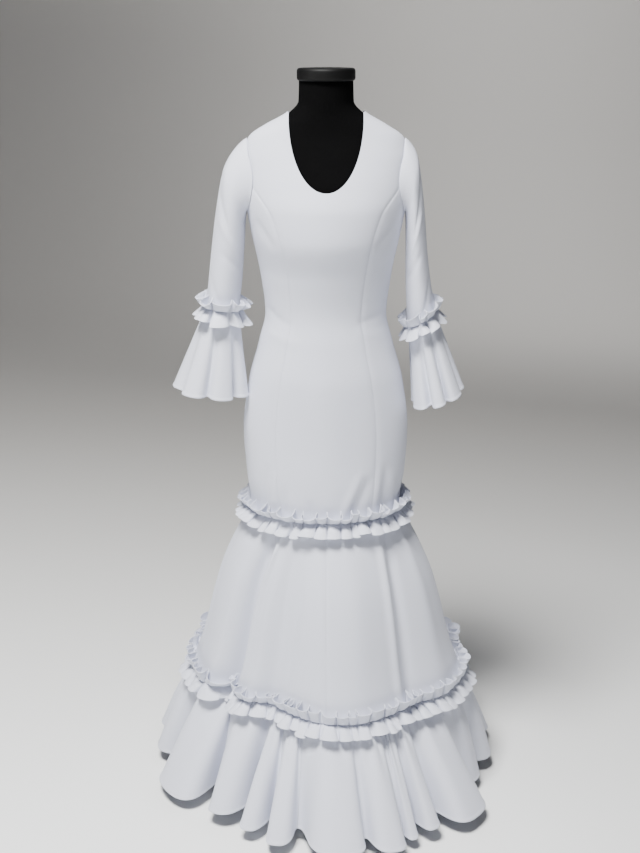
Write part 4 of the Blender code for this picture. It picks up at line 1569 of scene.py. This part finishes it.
@dataclass
class Stand:
    """Steel pole, turned hub and three legs sawn from boards."""

    looks: Looks
    legs: tuple[tuple[str, float], ...] = (
        ("stand_leg_front", -32.0),
        ("stand_leg_side", 88.0),
        ("stand_leg_back", 208.0),
    )
    boards: tuple[Board, ...] = table(Board, (
        (0.0303, 0.358, 0.28), (0.06, 0.33, 0.235), (0.095, 0.262, 0.162), (0.13, 0.185, 0.102),
        (0.17, 0.112, 0.05), (0.205, 0.062, 0.014), (0.232, 0.03, 0.0), (0.262, 0.021, 0.0),
    ))
    hub_foot: tuple[tuple[float, float], ...] = (
        (0.010, 0.0), (0.018, 0.002), (0.0235, 0.0065), (0.0275, 0.010), (0.0297, 0.015), (0.0300, 0.020),
    )
    hub_head: tuple[tuple[float, float], ...] = (
        (0.0300, 0.022), (0.0285, 0.020), (0.0285, 0.016), (0.0300, 0.014), (0.0298, 0.010), (0.026, 0.006),
        (0.021, 0.0035), (0.018, 0.001), (0.0165, 0.0),
    )
    thickness_m: float = 0.028
    rounding_m: float = 0.004
    rounding_steps: int = 3
    outline_steps: int = 48
    toe_m: float = 0.008
    toe_drop_m: float = 0.012
    corner_deg: float = 40.0
    pole_radius_m: float = 0.0125

    def build(self) -> None:
        """Builds the pole, the hub and the legs."""
        pole_low, pole_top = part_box("stand_pole")
        profile = [(self.pole_radius_m, pole_low.z), (self.pole_radius_m, pole_top.z)]
        add_piece("pole", turned_mesh("pole", profile), self.looks.steel, ["stand_pole"])
        low, top = (corner.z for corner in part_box("stand_hub"))
        profile = [(radius, low + rise) for radius, rise in self.hub_foot]
        profile += [(radius, top - drop) for radius, drop in self.hub_head]
        add_piece("hub", turned_mesh("hub", profile), self.looks.wood, ["stand_hub"])
        for name, around_deg in self.legs:
            mesh = self.leg(f"{name}_board", around_deg)
            add_piece(f"{name}_board", mesh, self.looks.wood, [name])

    def leg(self, name: str, around_deg: float) -> bpy.types.Mesh:
        """A leg: its outline, through the board's thickness, with rounded edges.

        Args:
            name: its name.
            around_deg: angles round the piece.

        Returns:
            The mesh.
        """
        first, last = self.boards[0].reach_m, self.boards[-1].reach_m
        reach = np.linspace(first, last, self.outline_steps)
        upper = Smooth.column(self.boards, "top_m")(reach)
        lower = Smooth.column(self.boards, "bottom_m")(reach)
        toe = reach > last - self.toe_m
        upper[toe] -= self.toe_drop_m * ((reach[toe] - last + self.toe_m) / self.toe_m) ** 2
        outline = np.concatenate([np.stack([reach, upper], -1), np.stack([reach, lower], -1)[::-1]])
        turn = math.radians(around_deg)
        ahead = np.array([math.sin(turn), -math.cos(turn), 0.0])
        aside = np.array([math.cos(turn), math.sin(turn), 0.0])
        body = bmesh.new()
        flat = outline[:, :1] * ahead + outline[:, 1:] * np.array([0.0, 0.0, 1.0])
        near = [body.verts.new(point - aside * self.thickness_m / 2) for point in flat]
        body.faces.new(near)
        grown = bmesh.ops.extrude_face_region(body, geom=body.faces[:])
        moved = [item for item in grown["geom"] if isinstance(item, bmesh.types.BMVert)]
        bmesh.ops.translate(body, verts=moved, vec=aside * self.thickness_m)
        bmesh.ops.recalc_face_normals(body, faces=body.faces[:])
        corners = [edge for edge in body.edges if edge.calc_face_angle(0.0) > math.radians(self.corner_deg)]
        bmesh.ops.bevel(
            body, geom=corners, offset=self.rounding_m, segments=self.rounding_steps, profile=0.5, affect="EDGES",
            clamp_overlap=True,
        )
        body.verts.index_update()
        points = np.array([vertex.co for vertex in body.verts])
        faces = sorted(lowest_first([vertex.index for vertex in face.verts]) for face in body.faces)
        body.free()
        return mesh_of(name, points, faces, self.corner_deg)


# Studio


class Lamp(NamedTuple):
    """A soft square light that faces a point."""

    name: str
    place: tuple[float, float, float]
    aim: tuple[float, float, float]
    size_m: float
    watts: float
    colour: tuple[float, float, float]
    spread_deg: float = 180.0


@dataclass
class Studio:
    """Camera, floor, backdrop and soft lights."""

    camera_place: tuple[float, float, float] = (-0.012, -2.6, 1.6)
    camera_tilt_deg: float = 72.7
    lens_mm: float = 54.2
    lamps: tuple[Lamp, ...] = table(Lamp, (
        ("key", (-3.6, -1.5, 1.9), (0.0, 0.0, 0.1), 0.8, 940.0, (1.0, 0.985, 0.96), 60.0),
        ("fill", (2.6, -2.2, 1.5), (0.0, 0.0, 0.6), 2.6, 20.0, (0.80, 0.84, 1.0)),
        ("top", (-0.7, -1.3, 3.7), (0.0, -0.2, 0.0), 1.2, 430.0, (1.0, 0.995, 0.98)),
        ("back", (1.2, 4.0, 2.6), (0.0, 0.0, 0.7), 1.8, 60.0, (1.0, 1.0, 1.0)),
    ))
    sky: float = 0.10
    sky_colour: tuple[float, ...] = (0.92, 0.94, 1.0, 1.0)
    floor_front_m: float = -6.0
    half_width_m: float = 7.0
    wall_top_m: float = 5.0
    bend_start_m: float = 4.5
    bend_radius_m: float = 2.5
    bend_steps: int = 16
    paper_near: tuple[float, ...] = (0.90, 0.91, 0.91, 1.0)
    # The far colour is painted shade: the paper darkens toward the back in place of the light's falloff.
    paper_far_painted_shade: tuple[float, ...] = (0.74, 0.72, 0.69, 1.0)
    paper_roughness: float = 0.75
    painted_shade_start_m: float = -0.3
    painted_shade_end_m: float = 2.6

    def build(self) -> None:
        """Builds the whole studio."""
        self.camera()
        self.room()
        for lamp in self.lamps:
            self.hang(lamp)
        world = bpy.data.worlds.new("studio")
        world.use_nodes = True
        shade = world.node_tree.nodes["Background"]
        shade.inputs["Color"].default_value = self.sky_colour
        shade.inputs["Strength"].default_value = self.sky
        bpy.context.scene.world = world

    def camera(self) -> None:
        """Camera a little above the shoulders, tilted down."""
        data = bpy.data.cameras.new("camera")
        data.lens = self.lens_mm
        data.sensor_width = 36.0
        camera = bpy.data.objects.new("camera", data)
        camera.location = self.camera_place
        camera.rotation_euler = (math.radians(self.camera_tilt_deg), 0.0, 0.0)
        bpy.context.scene.collection.objects.link(camera)
        bpy.context.scene.camera = camera

    @staticmethod
    def hang(lamp: Lamp) -> None:
        """Puts a lamp in its place, facing its aim.

        Args:
            lamp: its row of the table.
        """
        data = bpy.data.lights.new(lamp.name, "AREA")
        data.spread = math.radians(lamp.spread_deg)
        data.size = lamp.size_m
        data.energy = lamp.watts
        data.color = lamp.colour
        body = bpy.data.objects.new(lamp.name, data)
        body.location = lamp.place
        facing = np.array(lamp.aim) - np.array(lamp.place)
        level = math.hypot(facing[0], facing[1])
        body.rotation_euler = (math.atan2(level, -facing[2]), 0.0, math.atan2(facing[0], -facing[1]))
        bpy.context.scene.collection.objects.link(body)

    def room(self) -> None:
        """Pale floor that curves up into a backdrop, greyed toward the back by painted shade."""
        line = [(self.floor_front_m, 0.0), (self.bend_start_m, 0.0)]
        for i in range(1, self.bend_steps + 1):
            angle = math.pi / 2 * i / self.bend_steps
            depth = self.bend_start_m + self.bend_radius_m * math.sin(angle)
            line.append((depth, self.bend_radius_m * (1 - math.cos(angle))))
        line.append((self.bend_start_m + self.bend_radius_m, self.wall_top_m))
        points = [(x, y, z) for y, z in line for x in (-self.half_width_m, self.half_width_m)]
        faces = [(2 * i, 2 * i + 1, 2 * i + 3, 2 * i + 2) for i in range(len(line) - 1)]
        mesh = bpy.data.meshes.new("backdrop")
        mesh.from_pydata(points, [], faces)
        mesh.shade_smooth()
        mesh.materials.append(self.paper())
        surface = bpy.data.objects.new("backdrop", mesh)
        bpy.context.scene.collection.objects.link(surface)

    def paper(self) -> bpy.types.Material:
        """Backdrop paper, pale round the stand and darkened toward the back by painted shade for the light's
        falloff.

        Returns:
            The material.
        """
        look = bpy.data.materials.new("backdrop_paper")
        look.use_nodes = True
        tree = look.node_tree
        shader = tree.nodes["Principled BSDF"]
        shader.name = "surface"
        shader.inputs["Roughness"].default_value = self.paper_roughness
        put(tree, "ShaderNodeTexCoord", "place")
        put(tree, "ShaderNodeSeparateXYZ", "split")
        # Painted shade: the paper's colour darkens with distance toward the back.
        put(tree, "ShaderNodeMapRange", "away", From_Min=self.painted_shade_start_m, From_Max=self.painted_shade_end_m)
        near, far, mixed = colour_sockets(put(tree, "ShaderNodeMix", "tint", data_type="RGBA"))
        near.default_value, far.default_value = self.paper_near, self.paper_far_painted_shade
        wire(tree, ("place", "Object"), ("split", "Vector"))
        wire(tree, ("split", "Y"), ("away", "Value"))
        wire(tree, ("away", "Result"), ("tint", "Factor"))
        tree.links.new(mixed, shader.inputs["Base Color"])
        return look


def main() -> None:
    """Builds every piece in order."""
    logging.basicConfig(level=logging.INFO, format="%(message)s")
    Studio().build()
    looks = Looks.build()
    Bodice(looks.crepe).build()
    Skirt(looks.crepe).build()
    sleeves = [
        SleeveSet(looks.crepe, Side.LEFT, SLEEVE_LEFT, CUFF_LEFT, CUFF_FOLDS_LEFT),
        SleeveSet(looks.crepe, Side.RIGHT, SLEEVE_RIGHT, CUFF_RIGHT, CUFF_FOLDS_RIGHT),
    ]
    for seed, sleeve in enumerate(sleeves):
        sleeve.build()
        word = sleeve.side.name.lower()

        def base(around_deg: Array, across_m: Array, sleeve: SleeveSet = sleeve) -> Array:
            """Cloth under this sleeve's ruche, on its own side."""
            return sleeve.mirrored(sleeve.ruche_base(around_deg, across_m))

        Ruche(
            f"sleeve_ruche_{word}", looks.crepe, base, 10, 40 + seed, (f"sleeve_{word}",),
            turned_over=sleeve.side is Side.LEFT, frill_m=0.011,
        ).build()
    Ruche("ruche_upper", looks.crepe, upper_ruche_base, 44, 7, ("front_centre",)).build()
    Ruche("ruche_lower", looks.crepe, lower_ruche_base, 74, 11, ("skirt_front_left",)).build()
    DressForm(looks).build()
    Stand(looks).build()


if __name__ == "__main__":
    main()
